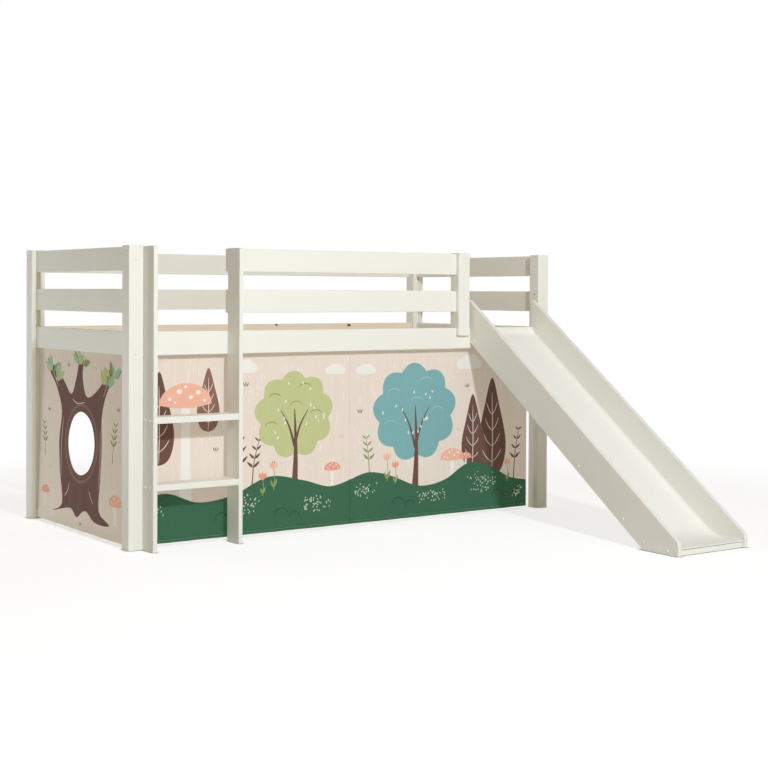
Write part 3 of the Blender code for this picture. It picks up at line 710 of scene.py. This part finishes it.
def sidePrint(wide, high):
    x, y = peephole["along"], peephole["up"]
    return drawMotifs([
        (drizzle, wide, 0.03, high, 120, 13),
        (hollowTree, x, y),
        (toadstool, x + 0.335, 0.06, 0.11, 0.08, "salmon"),
        (toadstool, x - 0.345, 0.06, 0.08, 0.06, "coral"),
        (reed, x + 0.30, 0.30, 0.15, 0.02, "olive"), (reed, x - 0.36, 0.27, 0.14, -0.02, "olive"),
        (sprig, x - 0.33, 0.46, 0.022), (sprig, x + 0.34, 0.50, 0.022, 0.3),
        (sprig, x - 0.14, 0.655, 0.02, -0.3), (sprig, x + 0.12, 0.65, 0.02, 0.0, "salmon"),
        (sprig, x + 0.02, 0.02, 0.02), (sprig, x - 0.30, 0.22, 0.02, 0.0, "salmon"),
    ])


# The curtain sheets hang from hook tape, and fall in the shallow folds of the solids
cloth = {
    "thick": 0.0009,
    "hemExtra": 0.0007,
    "hemHigh": {True: 0.011, False: 0.020},   # the front sheets', the end sheet's
    "holeHem": 0.011,
    "seamDeep": 0.00035,
    "seamWide": 0.0012,
    "gridWide": 0.012,
    "gridHigh": 0.022,
    "wrinkle": 0.0009,
    "tapeGap": 0.0003,
    "lean": 0.021,   # how far the end sheet's hem stands out of its top
    "leanFromShare": 0.12,
    "slitCurl": 0.0050,
    "slitReach": 0.0045,
    "slitSteps": (0.3, 0.65, 1.0),
    "slitClose": 0.0007,
    "hemClear": 0.004,
    "printMargin": 0.0004,
    "shortestEdge": 0.0002,
    "mergeReach": 0.00005,
    "holeTrim": 0.9995,
    "backInk": 0.38,   # how much of the ink shows on the back
}
folds = {
    "size": 0.0026, "flatTopShare": 0.25, "atTopShare": 0.35, "swellShare": 0.7,
    "driftShare": 0.6, "driftRate": 2.3, "rippleShare": 0.45, "rippleRate": 2.7, "rippleStart": 1.1,
}
# soft and fine wrinkles: how many to a metre along and down, and how they slant
wrinkles = {"soft": (7, 1.6, 2.0), "fine": (24, 4.5), "fineShare": 0.35, "fineSeed": 7.3}
peephole = {"y": 0.6154, "z": 0.3593, "radius": 0.128, "sides": 96}


def foldDepth(count, share, fall):
    drift = folds["driftShare"] * math.sin(folds["driftRate"] * count * share)
    wave = math.sin(math.pi * count * share + drift)
    turn = folds["rippleRate"] * math.pi * count * share + folds["rippleStart"]
    ripple = folds["rippleShare"] * math.sin(turn)
    openShare = min(1.0, fall / folds["flatTopShare"])
    depth = folds["atTopShare"] + (1 - folds["atTopShare"]) * fall
    swell = depth * openShare * folds["swellShare"] * (wave + ripple)
    return folds["size"] * (1 + swell) * openShare


tiny = 1e-12


def clampTo(value, low, high):
    return min(max(value, low), high)


def spread(length, step):
    count = round(length / step)
    return [length * i / count for i in range(count + 1)]


# The sheet's own grid, with closer lines where its seams and its slit are
def clothGrid(sheet):
    wide, high, hem, seam = sheet["wide"], sheet["high"], sheet["hem"], cloth["seamWide"]
    clear = hem + cloth["hemClear"]
    stitched = [hem - seam, hem, hem + seam]
    curled = [cloth["slitReach"] * share for share in cloth["slitSteps"]]
    columns = [c for c in spread(wide, cloth["gridWide"]) if not 0 < c < clear]
    columns = [c for c in columns if not wide - clear < c < wide]
    columns = sorted(columns + [c for s in stitched + curled for c in (s, wide - s)])
    rows = sorted([r for r in spread(high, cloth["gridHigh"]) if not 0 < r < clear] + stitched)
    across = len(columns)
    edges = []
    for j in range(len(rows)):
        for i in range(across):
            if i + 1 < across and (j == 0 or j == len(rows) - 1 or rows[j] in stitched):
                edges.append((j * across + i, j * across + i + 1))
            if j + 1 < len(rows) and (i == 0 or i == across - 1):
                edges.append((j * across + i, (j + 1) * across + i))
    return [(c, r) for r in rows for c in columns], edges


# Cloth printed in one piece: every outline of the print is an edge in the mesh
def sheetMesh(sheet):
    wide, high, seam = sheet["wide"], sheet["high"], cloth["seamWide"]
    shapes = sheet["print"](wide, high)
    points, edges = clothGrid(sheet)
    outlines = [outline for _, outline in shapes]
    hole = sheet.get("hole")
    if hole:
        holeSeam = hole[2] + cloth["holeHem"]
        for reach in (hole[2], holeSeam - seam, holeSeam, holeSeam + seam):
            outlines.append(oval(hole[0], hole[1], reach, count=peephole["sides"]))
    margin = cloth["printMargin"]
    for outline in outlines:
        first = len(points)
        kept = []
        for x, y in outline:
            spot = (clampTo(x, margin, wide - margin), clampTo(y, margin, high - margin))
            if y <= 0.0:
                spot = (spot[0], 0.0)
            if not kept or (Vector(spot) - Vector(kept[-1])).length > cloth["shortestEdge"]:
                kept.append(spot)
        points += kept
        edges += [(first + i, first + (i + 1) % len(kept)) for i in range(len(kept))]
    flat, _, faces, _, _, _ = geometry.delaunay_2d_cdt(
        [Vector(p) for p in points], edges, [], 0, cloth["mergeReach"], False
    )
    flat = np.array([tuple(v) for v in flat])
    faces = np.array([tuple(f) for f in faces])
    middles = flat[faces].mean(axis=1)
    tone = np.tile(np.array(paint(inks["sand"])), (len(faces), 1))
    for ink, outline in shapes:
        tone[insideOutline(middles, outline)] = paint(inks[ink])
    if hole:
        apart = ((middles - np.array(hole[:2])) ** 2).sum(axis=1)
        keep = apart > (hole[2] * cloth["holeTrim"]) ** 2
        faces, tone = faces[keep], tone[keep]
    a, b, c = (flat[faces[:, i]] for i in range(3))
    turn = (b - a)[:, 0] * (c - a)[:, 1] - (b - a)[:, 1] * (c - a)[:, 0]
    whole = np.abs(turn) > tiny
    faces, tone, turn = faces[whole], tone[whole], turn[whole]
    faces[turn < 0] = faces[turn < 0][:, ::-1]
    used = np.unique(faces)
    index = np.full(len(flat), -1)
    index[used] = np.arange(len(used))
    return flat[used], index[faces], tone


def insideOutline(spots, outline):
    ring = np.array(outline)
    low, high = ring.min(axis=0), ring.max(axis=0)
    near = np.all((spots >= low) & (spots <= high), axis=1)
    found = np.zeros(len(spots), bool)
    x, y = spots[near, 0], spots[near, 1]
    inside = np.zeros(len(x), bool)
    previous = ring[-1]
    for point in ring:
        crosses = (point[1] > y) != (previous[1] > y)
        if crosses.any():
            slope = (previous[0] - point[0]) / ((previous[1] - point[1]) or tiny)
            inside ^= crosses & (x < point[0] + slope * (y - point[1]))
        previous = point
    found[near] = inside
    return found


# Where a point of the flat cloth hangs, and how thick the cloth is there
def hangPoint(sheet, u, v, back=0.0):
    fall = 1 - v / sheet["high"]
    share = u / sheet["wide"] if sheet["alongX"] else 1 - u / sheet["wide"]
    depth = foldDepth(sheet["folds"], share, fall)
    openShare = min(1.0, fall / folds["flatTopShare"])
    rate, fallRate, slant = wrinkles["soft"]
    soft = noise.noise(Vector((u * rate, v * fallRate + u * slant, sheet["seed"])))
    rate, fallRate = wrinkles["fine"]
    fine = noise.noise(Vector((u * rate, v * fallRate, sheet["seed"] + wrinkles["fineSeed"])))
    depth += cloth["wrinkle"] * openShare * (soft + wrinkles["fineShare"] * fine)
    fromSlit = abs(u - sheet["wide"] * sheet["slitShare"]) if sheet["alongX"] else sheet["wide"]
    fromSide = sheet["wide"] - fromSlit if sheet["alongX"] else min(u, sheet["wide"] - u)
    fromHem = min(fromSide, v) - sheet["hem"]
    if sheet.get("hole"):
        x, y, radius = sheet["hole"]
        fromHem = min(fromHem, abs(math.hypot(u - x, v - y) - radius) - cloth["holeHem"])
    if abs(fromHem) < cloth["seamWide"] * 0.5:
        depth += cloth["seamDeep"]
    depth += back * (cloth["thick"] + (cloth["hemExtra"] if fromHem < 0 else 0.0))
    low = sheet["low"]
    if sheet["alongX"]:
        curl = max(0.0, 1 - fromSlit / cloth["slitReach"])
        depth += cloth["slitCurl"] * curl ** 2 * openShare
        along = cloth["slitClose"] * curl * (2 * sheet["slitShare"] - 1)
        return (low.x + u + along, sheet["face"] + depth, low.z + v)
    lean = cloth["lean"] * max(0.0, fall - cloth["leanFromShare"]) / (1 - cloth["leanFromShare"])
    return (sheet["face"] + depth - lean, sheet["farY"] - u, low.z + v)


def hangSheet(name, sheet, material):
    flat, faces, tone = sheetMesh(sheet)
    count = len(flat)
    front = [hangPoint(sheet, u, v) for u, v in flat]
    rear = [hangPoint(sheet, u, v, 1.0) for u, v in flat]
    uses = {}
    for face in faces:
        for i in range(3):
            pair = (int(face[i]), int(face[(i + 1) % 3]))
            edge = tuple(sorted(pair))
            uses[edge] = None if edge in uses else pair
    rim = [pair for pair in uses.values() if pair]
    polygons = [tuple(int(i) for i in f) for f in faces]
    polygons += [tuple(int(i) + count for i in f[::-1]) for f in faces]
    polygons += [(b, a, a + count, b + count) for a, b in rim]
    mesh = bpy.data.meshes.new(name)
    mesh.from_pydata(front + rear, [], polygons)
    sand = np.array(paint(inks["sand"]))
    backTone = tone * cloth["backInk"] + sand * (1 - cloth["backInk"])
    rimTone = np.tile(sand, (len(rim), 1))
    perFace = np.concatenate([tone, backTone, rimTone])
    corners = np.array([p.loop_total for p in mesh.polygons])
    inked = mesh.color_attributes.new("print", "FLOAT_COLOR", "CORNER")
    inked.data.foreach_set("color", np.repeat(perFace, corners, axis=0).astype(np.float32).ravel())
    flatMap = mesh.uv_layers.new(name="flat")
    corner = np.zeros(len(mesh.loops), np.int32)
    mesh.loops.foreach_get("vertex_index", corner)
    flatMap.data.foreach_set("uv", np.concatenate([flat, flat])[corner].astype(np.float32).ravel())
    mesh.shade_smooth()
    sharp = mesh.attributes.new("sharp_edge", "BOOLEAN", "EDGE")
    rimEdges = {tuple(sorted(pair)) for pair in rim}
    rimEdges |= {(a + count, b + count) for a, b in rimEdges}
    sharp.data.foreach_set("value", [tuple(sorted(e.vertices)) in rimEdges for e in mesh.edges])
    mesh.validate()
    return showObject(name, mesh, material)


# Printed cotton, thin enough to glow with light behind it: matt, a little sheen, ink in the weave
cotton = {
    "threadPitch": 0.0017,   # the real thread is 0.4 mm; drawn coarser, to show at all
    "slubWide": 0.006,
    "slubLong": 0.22,
    "roughness": 0.86,
    "sheen": 0.12,
    "thinShare": 0.26,   # how much of the light goes through
    "dryShow": (0.55, 0.75, 0.0, 0.10),
    "slubTone": (0.3, 0.7, 1.12, 1.16),
    "weaveTone": (0.0, 1.0, 0.985, 1.02),
    "specks": 420.0,
    "slubBump": (0.25, 0.0006),
    "weaveBump": (0.35, 0.0003),
}


def makeCotton():
    material, tree = startMaterial("printed_cotton_twill")
    ink = addNode(tree, "ShaderNodeAttribute", attribute_name="print").outputs["Color"]
    flat = addOut(tree, "ShaderNodeUVMap", uv_map="flat")
    waves = {
        "Vector": flat, "Scale": math.pi / (10 * cotton["threadPitch"]),
        "Distortion": 1.2, "Detail": 1.0, "Detail Scale": 3.0,
    }
    warp, weft = [
        addNode(tree, "ShaderNodeTexWave", waves, bands_direction=way).outputs["Fac"]
        for way in ("X", "Y")
    ]
    weave = addMath(tree, "MULTIPLY", warp, weft)
    slubScale = (1 / cotton["slubWide"], 1 / cotton["slubLong"], 1.0)
    slub = addNoise(tree, addMapping(tree, flat, scale=slubScale), 0.5, 3.0)
    speck = addNoise(tree, flat, cotton["specks"], 2.0)
    dry = mapRange(tree, speck, *cotton["dryShow"])
    worn = mixColours(tree, dry, ink, paint(inks["sand"]))
    tone = mapRange(tree, slub, *cotton["slubTone"])
    woven = mapRange(tree, weave, *cotton["weaveTone"])
    value = addMath(tree, "MULTIPLY", tone, woven)
    colour = addOut(tree, "ShaderNodeHueSaturation", {"Value": value, "Color": worn})
    bump = addBump(tree, cotton["weaveBump"], weave, addBump(tree, cotton["slubBump"], slub))
    shader = addNode(
        tree, "ShaderNodeBsdfPrincipled",
        {
            "Base Color": colour, "Roughness": cotton["roughness"], "IOR": 1.45,
            "Sheen Weight": cotton["sheen"], "Sheen Roughness": 0.5, "Normal": bump,
        },
    )
    through = addOut(tree, "ShaderNodeBsdfTranslucent", {"Color": colour})
    thin = mixShaders(tree, cotton["thinShare"], shader.outputs[0], through)
    # inside the sheet's own thickness the light goes on unchanged
    inside = addNode(tree, "ShaderNodeNewGeometry").outputs["Backfacing"]
    clear = addOut(tree, "ShaderNodeBsdfTransparent")
    addNode(tree, "ShaderNodeOutputMaterial", {0: mixShaders(tree, inside, thin, clear)})
    return material


printedCotton = makeCotton()


def sheetPlan(node, draw, foldCount, seed, alongX):
    low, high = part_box(node)
    wide = (high.x - low.x) if alongX else (high.y - low.y)
    face = low.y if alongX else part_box("hook_tape_left")[1].x + cloth["tapeGap"]
    return {
        "low": low, "farY": high.y, "wide": wide, "high": high.z - low.z, "face": face,
        "print": draw, "folds": foldCount, "seed": seed, "alongX": alongX,
        "hem": cloth["hemHigh"][alongX], "slitShare": 1.0 if node.endswith("front_left") else 0.0,
    }


# Geometry Nodes: the same small shape on every point, turned to face out, as plain mesh in the end
def startTree(name, sockets, result):
    tree = bpy.data.node_groups.new(name, "GeometryNodeTree")
    for label, kind, value in sockets:
        socket = tree.interface.new_socket(label, in_out="INPUT", socket_type="NodeSocket" + kind)
        if value is not None:
            socket.default_value = value
    tree.interface.new_socket(result, in_out="OUTPUT", socket_type="NodeSocketGeometry")
    return tree, addNode(tree, "NodeGroupInput").outputs


def placeShapes(tree, points, shape, turned, finish):
    placed = addOut(
        tree, "GeometryNodeInstanceOnPoints",
        {"Points": points, "Instance": shape, "Rotation": turned},
    )
    real = addOut(tree, "GeometryNodeRealizeInstances", {0: placed})
    finished = addOut(tree, "GeometryNodeSetMaterial", {"Geometry": real, "Material": finish})
    addNode(tree, "NodeGroupOutput", {0: finished})


# Running stitches of cotton thread along the hems, in metres
stitch = {
    "pitch": 0.0034,
    "long": 0.0026,
    "wide": 0.0006,
    "lift": 0.0001,
    "pathStep": 0.006,
    "topGap": 0.02,
    "slitGap": 0.006,
}


def makeStitchTree():
    sockets = [
        ("Path", "Geometry", None), ("Pitch", "Float", stitch["pitch"]),
        ("Stitch Long", "Float", stitch["long"]), ("Thread Wide", "Float", stitch["wide"]),
        ("Thread", "Material", None),
    ]
    tree, given = startTree("stitch_row", sockets, "Stitches")
    curve = addOut(tree, "GeometryNodeMeshToCurve", {0: given["Path"]})
    spots = addNode(
        tree, "GeometryNodeCurveToPoints", {"Curve": curve, "Length": given["Pitch"]}, mode="LENGTH"
    ).outputs
    thread = addNode(
        tree, "GeometryNodeMeshUVSphere", {"Segments": 6, "Rings": 4, "Radius": 0.5}
    ).outputs["Mesh"]
    thick, long = given["Thread Wide"], given["Stitch Long"]
    size = addOut(tree, "ShaderNodeCombineXYZ", {0: thick, 1: thick, 2: long})
    made = addOut(tree, "GeometryNodeTransform", {"Geometry": thread, "Scale": size})
    placeShapes(tree, spots["Points"], made, spots["Rotation"], given["Thread"])
    return tree


def makeHeadTree():
    sockets = [("Points", "Geometry", None), ("Head", "Object", None), ("Finish", "Material", None)]
    tree, given = startTree("heads_on_points", sockets, "Heads")
    aim = addNode(
        tree, "GeometryNodeInputNamedAttribute", {"Name": "aim"}, data_type="FLOAT_VECTOR"
    ).outputs["Attribute"]
    turned = addOut(tree, "FunctionNodeAlignRotationToVector", {"Vector": aim}, axis="Z")
    head = addNode(tree, "GeometryNodeObjectInfo", {"Object": given["Head"]}).outputs["Geometry"]
    placeShapes(tree, given["Points"], head, turned, given["Finish"])
    return tree


# Runs a tree on a mesh and keeps the result as a plain mesh
def growPiece(name, source, tree, values):
    seed = showObject(name + "_seed", source)
    modifier = seed.modifiers.new("grow", "NODES")
    modifier.node_group = tree
    for socket in tree.interface.items_tree:
        if socket.in_out == "INPUT" and socket.name in values:
            modifier[socket.identifier] = values[socket.name]
    bpy.context.view_layer.update()
    grown = bpy.data.meshes.new_from_object(
        seed.evaluated_get(bpy.context.evaluated_depsgraph_get())
    )
    seed.modifiers.remove(modifier)
    bpy.data.objects.remove(seed)
    grown.name = name
    grown.shade_smooth()
    return showObject(name, grown)


stitchTree = makeStitchTree()
headTree = makeHeadTree()


# The line of a sheet's hem seams. The edges at the slit have none
def seamPath(sheet):
    wide, high, inset = sheet["wide"], sheet["high"], sheet["hem"]
    left = [(inset, high - stitch["topGap"]), (inset, inset)]
    right = [(wide - inset, inset), (wide - inset, high - stitch["topGap"])]
    if sheet["alongX"] and sheet["slitShare"]:
        right = [(wide - stitch["slitGap"], inset)]
    elif sheet["alongX"]:
        left = [(stitch["slitGap"], inset)]
    lines = [left + right]
    if sheet.get("hole"):
        x, y, radius = sheet["hole"]
        ring = oval(x, y, radius + cloth["holeHem"], count=peephole["sides"])
        lines.append(ring + ring[:1])
    points, edges = [], []
    for line in lines:
        first = len(points)
        for start, end in zip(line, line[1:]):
            across, up = end[0] - start[0], end[1] - start[1]
            steps = max(1, round(math.dist(start, end) / stitch["pathStep"]))
            for i in range(steps):
                t = i / steps
                points.append((start[0] + across * t, start[1] + up * t))
        points.append(line[-1])
        edges += [(i, i + 1) for i in range(first, len(points) - 1)]
    out = (0.0, -stitch["lift"], 0.0) if sheet["alongX"] else (-stitch["lift"], 0.0, 0.0)
    mesh = bpy.data.meshes.new("seam_path")
    mesh.from_pydata([Vector(hangPoint(sheet, u, v)) + Vector(out) for u, v in points], edges, [])
    return mesh


# each cloth, with its solid, its tape, its print, its folds, its seed, and if it lies along x
sheets = {
    "curtain_front_left_cloth": (
        "curtain_front_left", "hook_tape_front", leftPrint, 9, 1.5, True,
    ),
    "curtain_front_right_cloth": (
        "curtain_front_right", "hook_tape_front", rightPrint, 9, 4.5, True,
    ),
    "curtain_side_left_cloth": (
        "curtain_side_left", "hook_tape_left", sidePrint, 7, 8.5, False,
    ),
}
plans, curtains = {}, {}
for name, (node, _, draw, foldCount, seed, alongX) in sheets.items():
    plan = sheetPlan(node, draw, foldCount, seed, alongX)
    if not alongX:
        peephole["along"] = plan["farY"] - peephole["y"]
        peephole["up"] = peephole["z"] - plan["low"].z
        plan["hole"] = (peephole["along"], peephole["up"], peephole["radius"])
    plans[name] = plan
    curtains[name] = hangSheet(name, plan, printedCotton)
    print(name, "hung,", len(curtains[name].data.polygons), "faces")

for name, (node, tape, *_) in sheets.items():
    plan, curtain = plans[name], curtains[name]
    title = name.replace("_cloth", "_stitches")
    stitches = growPiece(title, seamPath(plan), stitchTree, {"Thread": sewingThread})
    print(title, len(stitches.data.polygons), "faces")
    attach(curtain, "root")
    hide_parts(node)
    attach(stitches, "root")


def closeShape(shape, name):
    bmesh.ops.recalc_face_normals(shape, faces=shape.faces)
    mesh = bpy.data.meshes.new(name)
    shape.to_mesh(mesh)
    shape.free()
    return mesh


# A turned shape: its profile is (radius, height) from the axis outwards
def turnedMesh(name, profile, sides):
    shape = bmesh.new()
    rings = []
    for radius, height in profile:
        if radius == 0.0:
            rings.append([shape.verts.new((0.0, 0.0, height))])
            continue
        ring = []
        for i in range(sides):
            angle = 2 * math.pi * i / sides
            spot = (radius * math.cos(angle), radius * math.sin(angle), height)
            ring.append(shape.verts.new(spot))
        rings.append(ring)
    for inner, outer in zip(rings, rings[1:]):
        for i in range(sides):
            j = (i + 1) % sides
            if len(inner) == 1:
                shape.faces.new((inner[0], outer[i], outer[j]))
            elif len(outer) == 1:
                shape.faces.new((inner[i], inner[j], outer[0]))
            else:
                shape.faces.new((inner[i], outer[i], outer[j], inner[j]))
    return closeShape(shape, name)


# Bolt caps and screw caps on the faces that the solids leave plain
caps = {
    "radius": 0.0065,
    "proud": 0.0022,
    "rim": 0.0002,
    "sunk": 0.0004,
    "smallShare": 0.8,
    "smallProud": 0.0027,
    "sides": 24,
    "domeSteps": 5,
}


def capProfile(share, proud):
    radius, rise = caps["radius"] * share, proud - caps["rim"]
    ball = (radius ** 2 + rise ** 2) / (2 * rise)
    profile = []
    for i in range(caps["domeSteps"] + 1):
        reach = radius * i / caps["domeSteps"]
        profile.append((reach, proud - ball + math.sqrt(ball ** 2 - reach ** 2)))
    return profile + [(radius, -caps["sunk"]), (0.0, -caps["sunk"])]


def pointMesh(name, spots):
    mesh = bpy.data.meshes.new(name)
    mesh.from_pydata([place for place, _ in spots], [], [])
    aim = mesh.attributes.new("aim", "FLOAT_VECTOR", "POINT")
    aim.data.foreach_set("vector", [c for _, out in spots for c in out])
    return mesh


toLeft, toRight, toBack = (-1, 0, 0), (1, 0, 0), (0, 1, 0)
postFront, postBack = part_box("post_front_right"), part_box("post_back_left")
slideLeft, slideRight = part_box("slide_side_left"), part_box("slide_side_right")
stringerLeft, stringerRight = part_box("ladder_stringer_left"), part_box("ladder_stringer_right")

boltCaps = []
for post, y, z in (
    (postFront, 0.1308, 1.1020), (postFront, 0.1323, 1.0680), (postFront, 0.1350, 0.9950),
    (postBack, 1.0793, 0.9395), (postBack, 1.0793, 0.7785),
):
    boltCaps.append(((post[0].x, y, z), toLeft))
for y in (0.1393, 1.0793):
    for z in (1.1375, 0.9395, 0.7785):
        boltCaps.append(((postFront[1].x, y, z), toRight))
for post in (postFront, postBack):
    x = (post[0].x + post[1].x) / 2
    for z in (1.1010, 0.7450):
        boltCaps.append(((x, postBack[1].y, z), toBack))
slideCapPlaces = [
    (0.0780, 0.7651), (-0.2469, 0.5241), (-0.5762, 0.2856), (-0.8231, 0.1052), (-0.9343, 0.0325),
    (-1.0559, 0.0151),
]
rungCapPlaces = [(0.0878, 0.4925), (0.0878, 0.2400), (0.0537, 0.4925), (0.0537, 0.2400)]
smallCaps = []
for left, right, places in (
    (slideLeft, slideRight, slideCapPlaces), (stringerLeft, stringerRight, rungCapPlaces),
):
    for y, z in places:
        smallCaps += [((left[0].x, y, z), toLeft), ((right[1].x, y, z), toRight)]
holes = [((postFront[0].x, 0.1358, 0.9710), toLeft)]
# a flat dark disc with a thin raised rim; its dark colour is the hole's painted shade
holeProfile = [
    (0.0, 0.00005), (0.0026, 0.00005), (0.0031, 0.00015), (0.0034, 0.0), (0.0, -0.0002),
]
smallProfile = capProfile(caps["smallShare"], caps["smallProud"])

heads = {
    "bolt_caps": (boltCaps, capProfile(1.0, caps["proud"]), whiteCap, "cap_plastic"),
    "screw_caps": (smallCaps, smallProfile, capWithoutSeamShade, "cap_plastic"),
    "open_bolt_hole": (holes, holeProfile, darkHole, "post_lacquer"),
}
for name, (spots, profile, finish, slot) in heads.items():
    head = showObject(name + "_head", turnedMesh(name + "_head", profile, caps["sides"]))
    points = pointMesh(name + "_points", spots)
    piece = growPiece(name, points, headTree, {"Head": head, "Finish": finish})
    bpy.data.objects.remove(head)
    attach(piece, "root")
    print(name, len(spots))


# Thin lacquered quarter-round beads, which close the seam between the slide's bed and its panels
bead = {
    "size": 0.0075,
    "gap": 0.0003,
    "flat": 0.0270,   # the bed's top at its foot
    "bend": 0.200,
    "onSlope": (0.1093, 0.79863),
    "top": 0.0915,
    "bendSteps": 14,
    "roundSteps": 5,
    "sharpAngle": 40.0,
}


def beadPath():
    rise = math.tan(slideSlope)
    slopeY, slopeZ = bead["onSlope"]
    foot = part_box("slide_bed")[0].y + bead["gap"]
    bendY = slopeY - (slopeZ - bead["flat"]) / rise - bead["bend"] * math.tan(slideSlope / 2)
    path = [(foot, bead["flat"], 0.0)]
    for i in range(bead["bendSteps"] + 1):
        turn = slideSlope * i / bead["bendSteps"]
        up = bead["flat"] + bead["bend"] * (1 - math.cos(turn))
        path.append((bendY + bead["bend"] * math.sin(turn), up, turn))
    path.append((bead["top"], slopeZ + rise * (bead["top"] - slopeY), slideSlope))
    return path


def beadMesh(name, wallX, inward):
    shape = bmesh.new()
    rings = []
    size, steps = bead["size"], bead["roundSteps"]
    section = [(0.0, 0.0)]
    for i in range(steps + 1):
        turn = math.pi / 2 * i / steps
        section.append((size * (1 - math.sin(turn)), size * (1 - math.cos(turn))))
    for y, z, tilt in beadPath():
        ring = []
        for out, up in section:
            lift = up + bead["gap"]
            x = wallX + inward * (out + bead["gap"])
            ring.append(shape.verts.new((x, y - lift * math.sin(tilt), z + lift * math.cos(tilt))))
        rings.append(ring)
    for ring, after in zip(rings, rings[1:]):
        for i in range(len(section)):
            j = (i + 1) % len(section)
            shape.faces.new((ring[i], ring[j], after[j], after[i]))
    shape.faces.new(rings[0])
    shape.faces.new(rings[-1])
    mesh = closeShape(shape, name)
    mesh.shade_smooth()
    mesh.set_sharp_from_angle(angle=math.radians(bead["sharpAngle"]))
    return mesh


for name, wallX, inward in (
    ("slide_bead_left", slideLeft[1].x, 1), ("slide_bead_right", slideRight[0].x, -1),
):
    strip = showObject(name, beadMesh(name, wallX, inward), lacquerSlope)
    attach(strip, "root")
print("beads laid")

# A white floor that keeps a soft shadow and runs out to plain white
stage = {
    "floorReach": 14.0,
    "floorDrop": 0.0003,
    "floorColour": "#ECECE8",
    "shadowShare": 0.44,
    "floorLift": 0.74,
    "fadeStart": 1.7,
    "fadeEnd": 3.4,
    "contactReach": 0.022,
    "contactShade": "#8E8878",
    "contactShow": (0.45, 0.95, 1.0, 0.0),
}


def makeFloor():
    material, tree = startMaterial("matt_white_studio_floor")
    place = objectPlace(tree)
    far = addVectorMath(tree, "LENGTH", place)["Value"]
    ends = (stage["fadeStart"], stage["fadeEnd"], 0.0, 1.0)
    fade = mapRange(tree, far, *ends, interpolation_type="SMOOTHSTEP")
    dim = tuple(c * stage["shadowShare"] for c in paint(stage["floorColour"])[:3])
    matt = addOut(tree, "ShaderNodeBsdfDiffuse", {"Color": paint(stage["floorColour"])})
    shaded = addOut(tree, "ShaderNodeBsdfDiffuse", {"Color": (*dim, 1.0)})
    lift = addOut(tree, "ShaderNodeEmission", {"Strength": stage["floorLift"]})
    white = addOut(tree, "ShaderNodeEmission", {"Strength": 1.0})
    near = addOut(tree, "ShaderNodeAddShader", {0: shaded, 1: lift})
    # painted contact shadow: where the floor is closed in near the feet, its colour turns to the
    # contact shade
    openness = addNode(
        tree, "ShaderNodeAmbientOcclusion", {"Distance": stage["contactReach"]}, samples=8
    ).outputs["AO"]
    closed = mapRange(tree, openness, *stage["contactShow"])
    contactShade = paint(stage["contactShade"])
    contact = addOut(tree, "ShaderNodeEmission", {"Color": contactShade})
    shown = mixShaders(tree, fade, mixShaders(tree, closed, near, contact), white)
    addNode(tree, "ShaderNodeOutputMaterial", {0: mixShaders(tree, seenRays(tree), matt, shown)})
    return material


reach = stage["floorReach"]
floorMesh = bpy.data.meshes.new("studio_floor")
floorMesh.from_pydata(
    [(x * reach, y * reach, -stage["floorDrop"]) for x, y in ((-1, -1), (1, -1), (1, 1), (-1, 1))],
    [], [(0, 1, 2, 3)],
)
showObject("studio_floor", floorMesh, makeFloor())

# Two lamps, and a room that glows towards its front and its back
light = {
    "even": (0.095, 0.074, 0.045),
    "sides": [
        # towards, and the light that it adds there
        ((0.0, -1.0, 0.0), (0.640, 0.595, 0.485)),
        ((0.0, 1.0, 0.0), (1.200, 1.125, 1.000)),
    ],
    "lamps": [
        # name, place, aim, size across, power, colour
        ("front_lamp", (-1.05, -5.00, 3.50), (0.0, 0.0, 0.45), 0.36, 214.0, "#EFF4FF"),
        ("back_left_lamp", (-2.40, 2.10, 0.45), (-1.0, 0.5, 0.50), 0.90, 8.0, "#E8F6FF"),
    ],
}


def lightStage():
    world = bpy.data.worlds.new("studio_room")
    bpy.context.scene.world = world
    world.use_nodes = True
    tree = world.node_tree
    tree.nodes.clear()
    way = addNode(tree, "ShaderNodeTexCoord").outputs["Generated"]
    glow = light["even"]
    for side, tint in light["sides"]:
        facing = addVectorMath(tree, "DOT_PRODUCT", way, side)["Value"]
        ahead = addMath(tree, "MAXIMUM", facing, 0.0)
        share = addMath(tree, "MULTIPLY", ahead, ahead)
        glow = addVectorMath(tree, "MULTIPLY_ADD", tint, share, glow)[0]
    room = addOut(tree, "ShaderNodeBackground", {"Color": glow})
    white = addOut(tree, "ShaderNodeBackground", {"Color": (1, 1, 1, 1)})
    addNode(tree, "ShaderNodeOutputWorld", {0: mixShaders(tree, seenRays(tree), room, white)})
    for name, place, aim, size, power, colour in light["lamps"]:
        data = bpy.data.lights.new(name, "AREA")
        data.shape = "DISK"
        data.size = size
        data.energy = power
        data.color = paint(colour)[:3]
        lamp = showObject(name, data)
        lamp.location = place
        lamp.rotation_euler = (Vector(aim) - Vector(place)).to_track_quat("-Z", "Y").to_euler()


lightStage()
bpy.context.scene.view_settings.view_transform = "Standard"
print("stage lit")
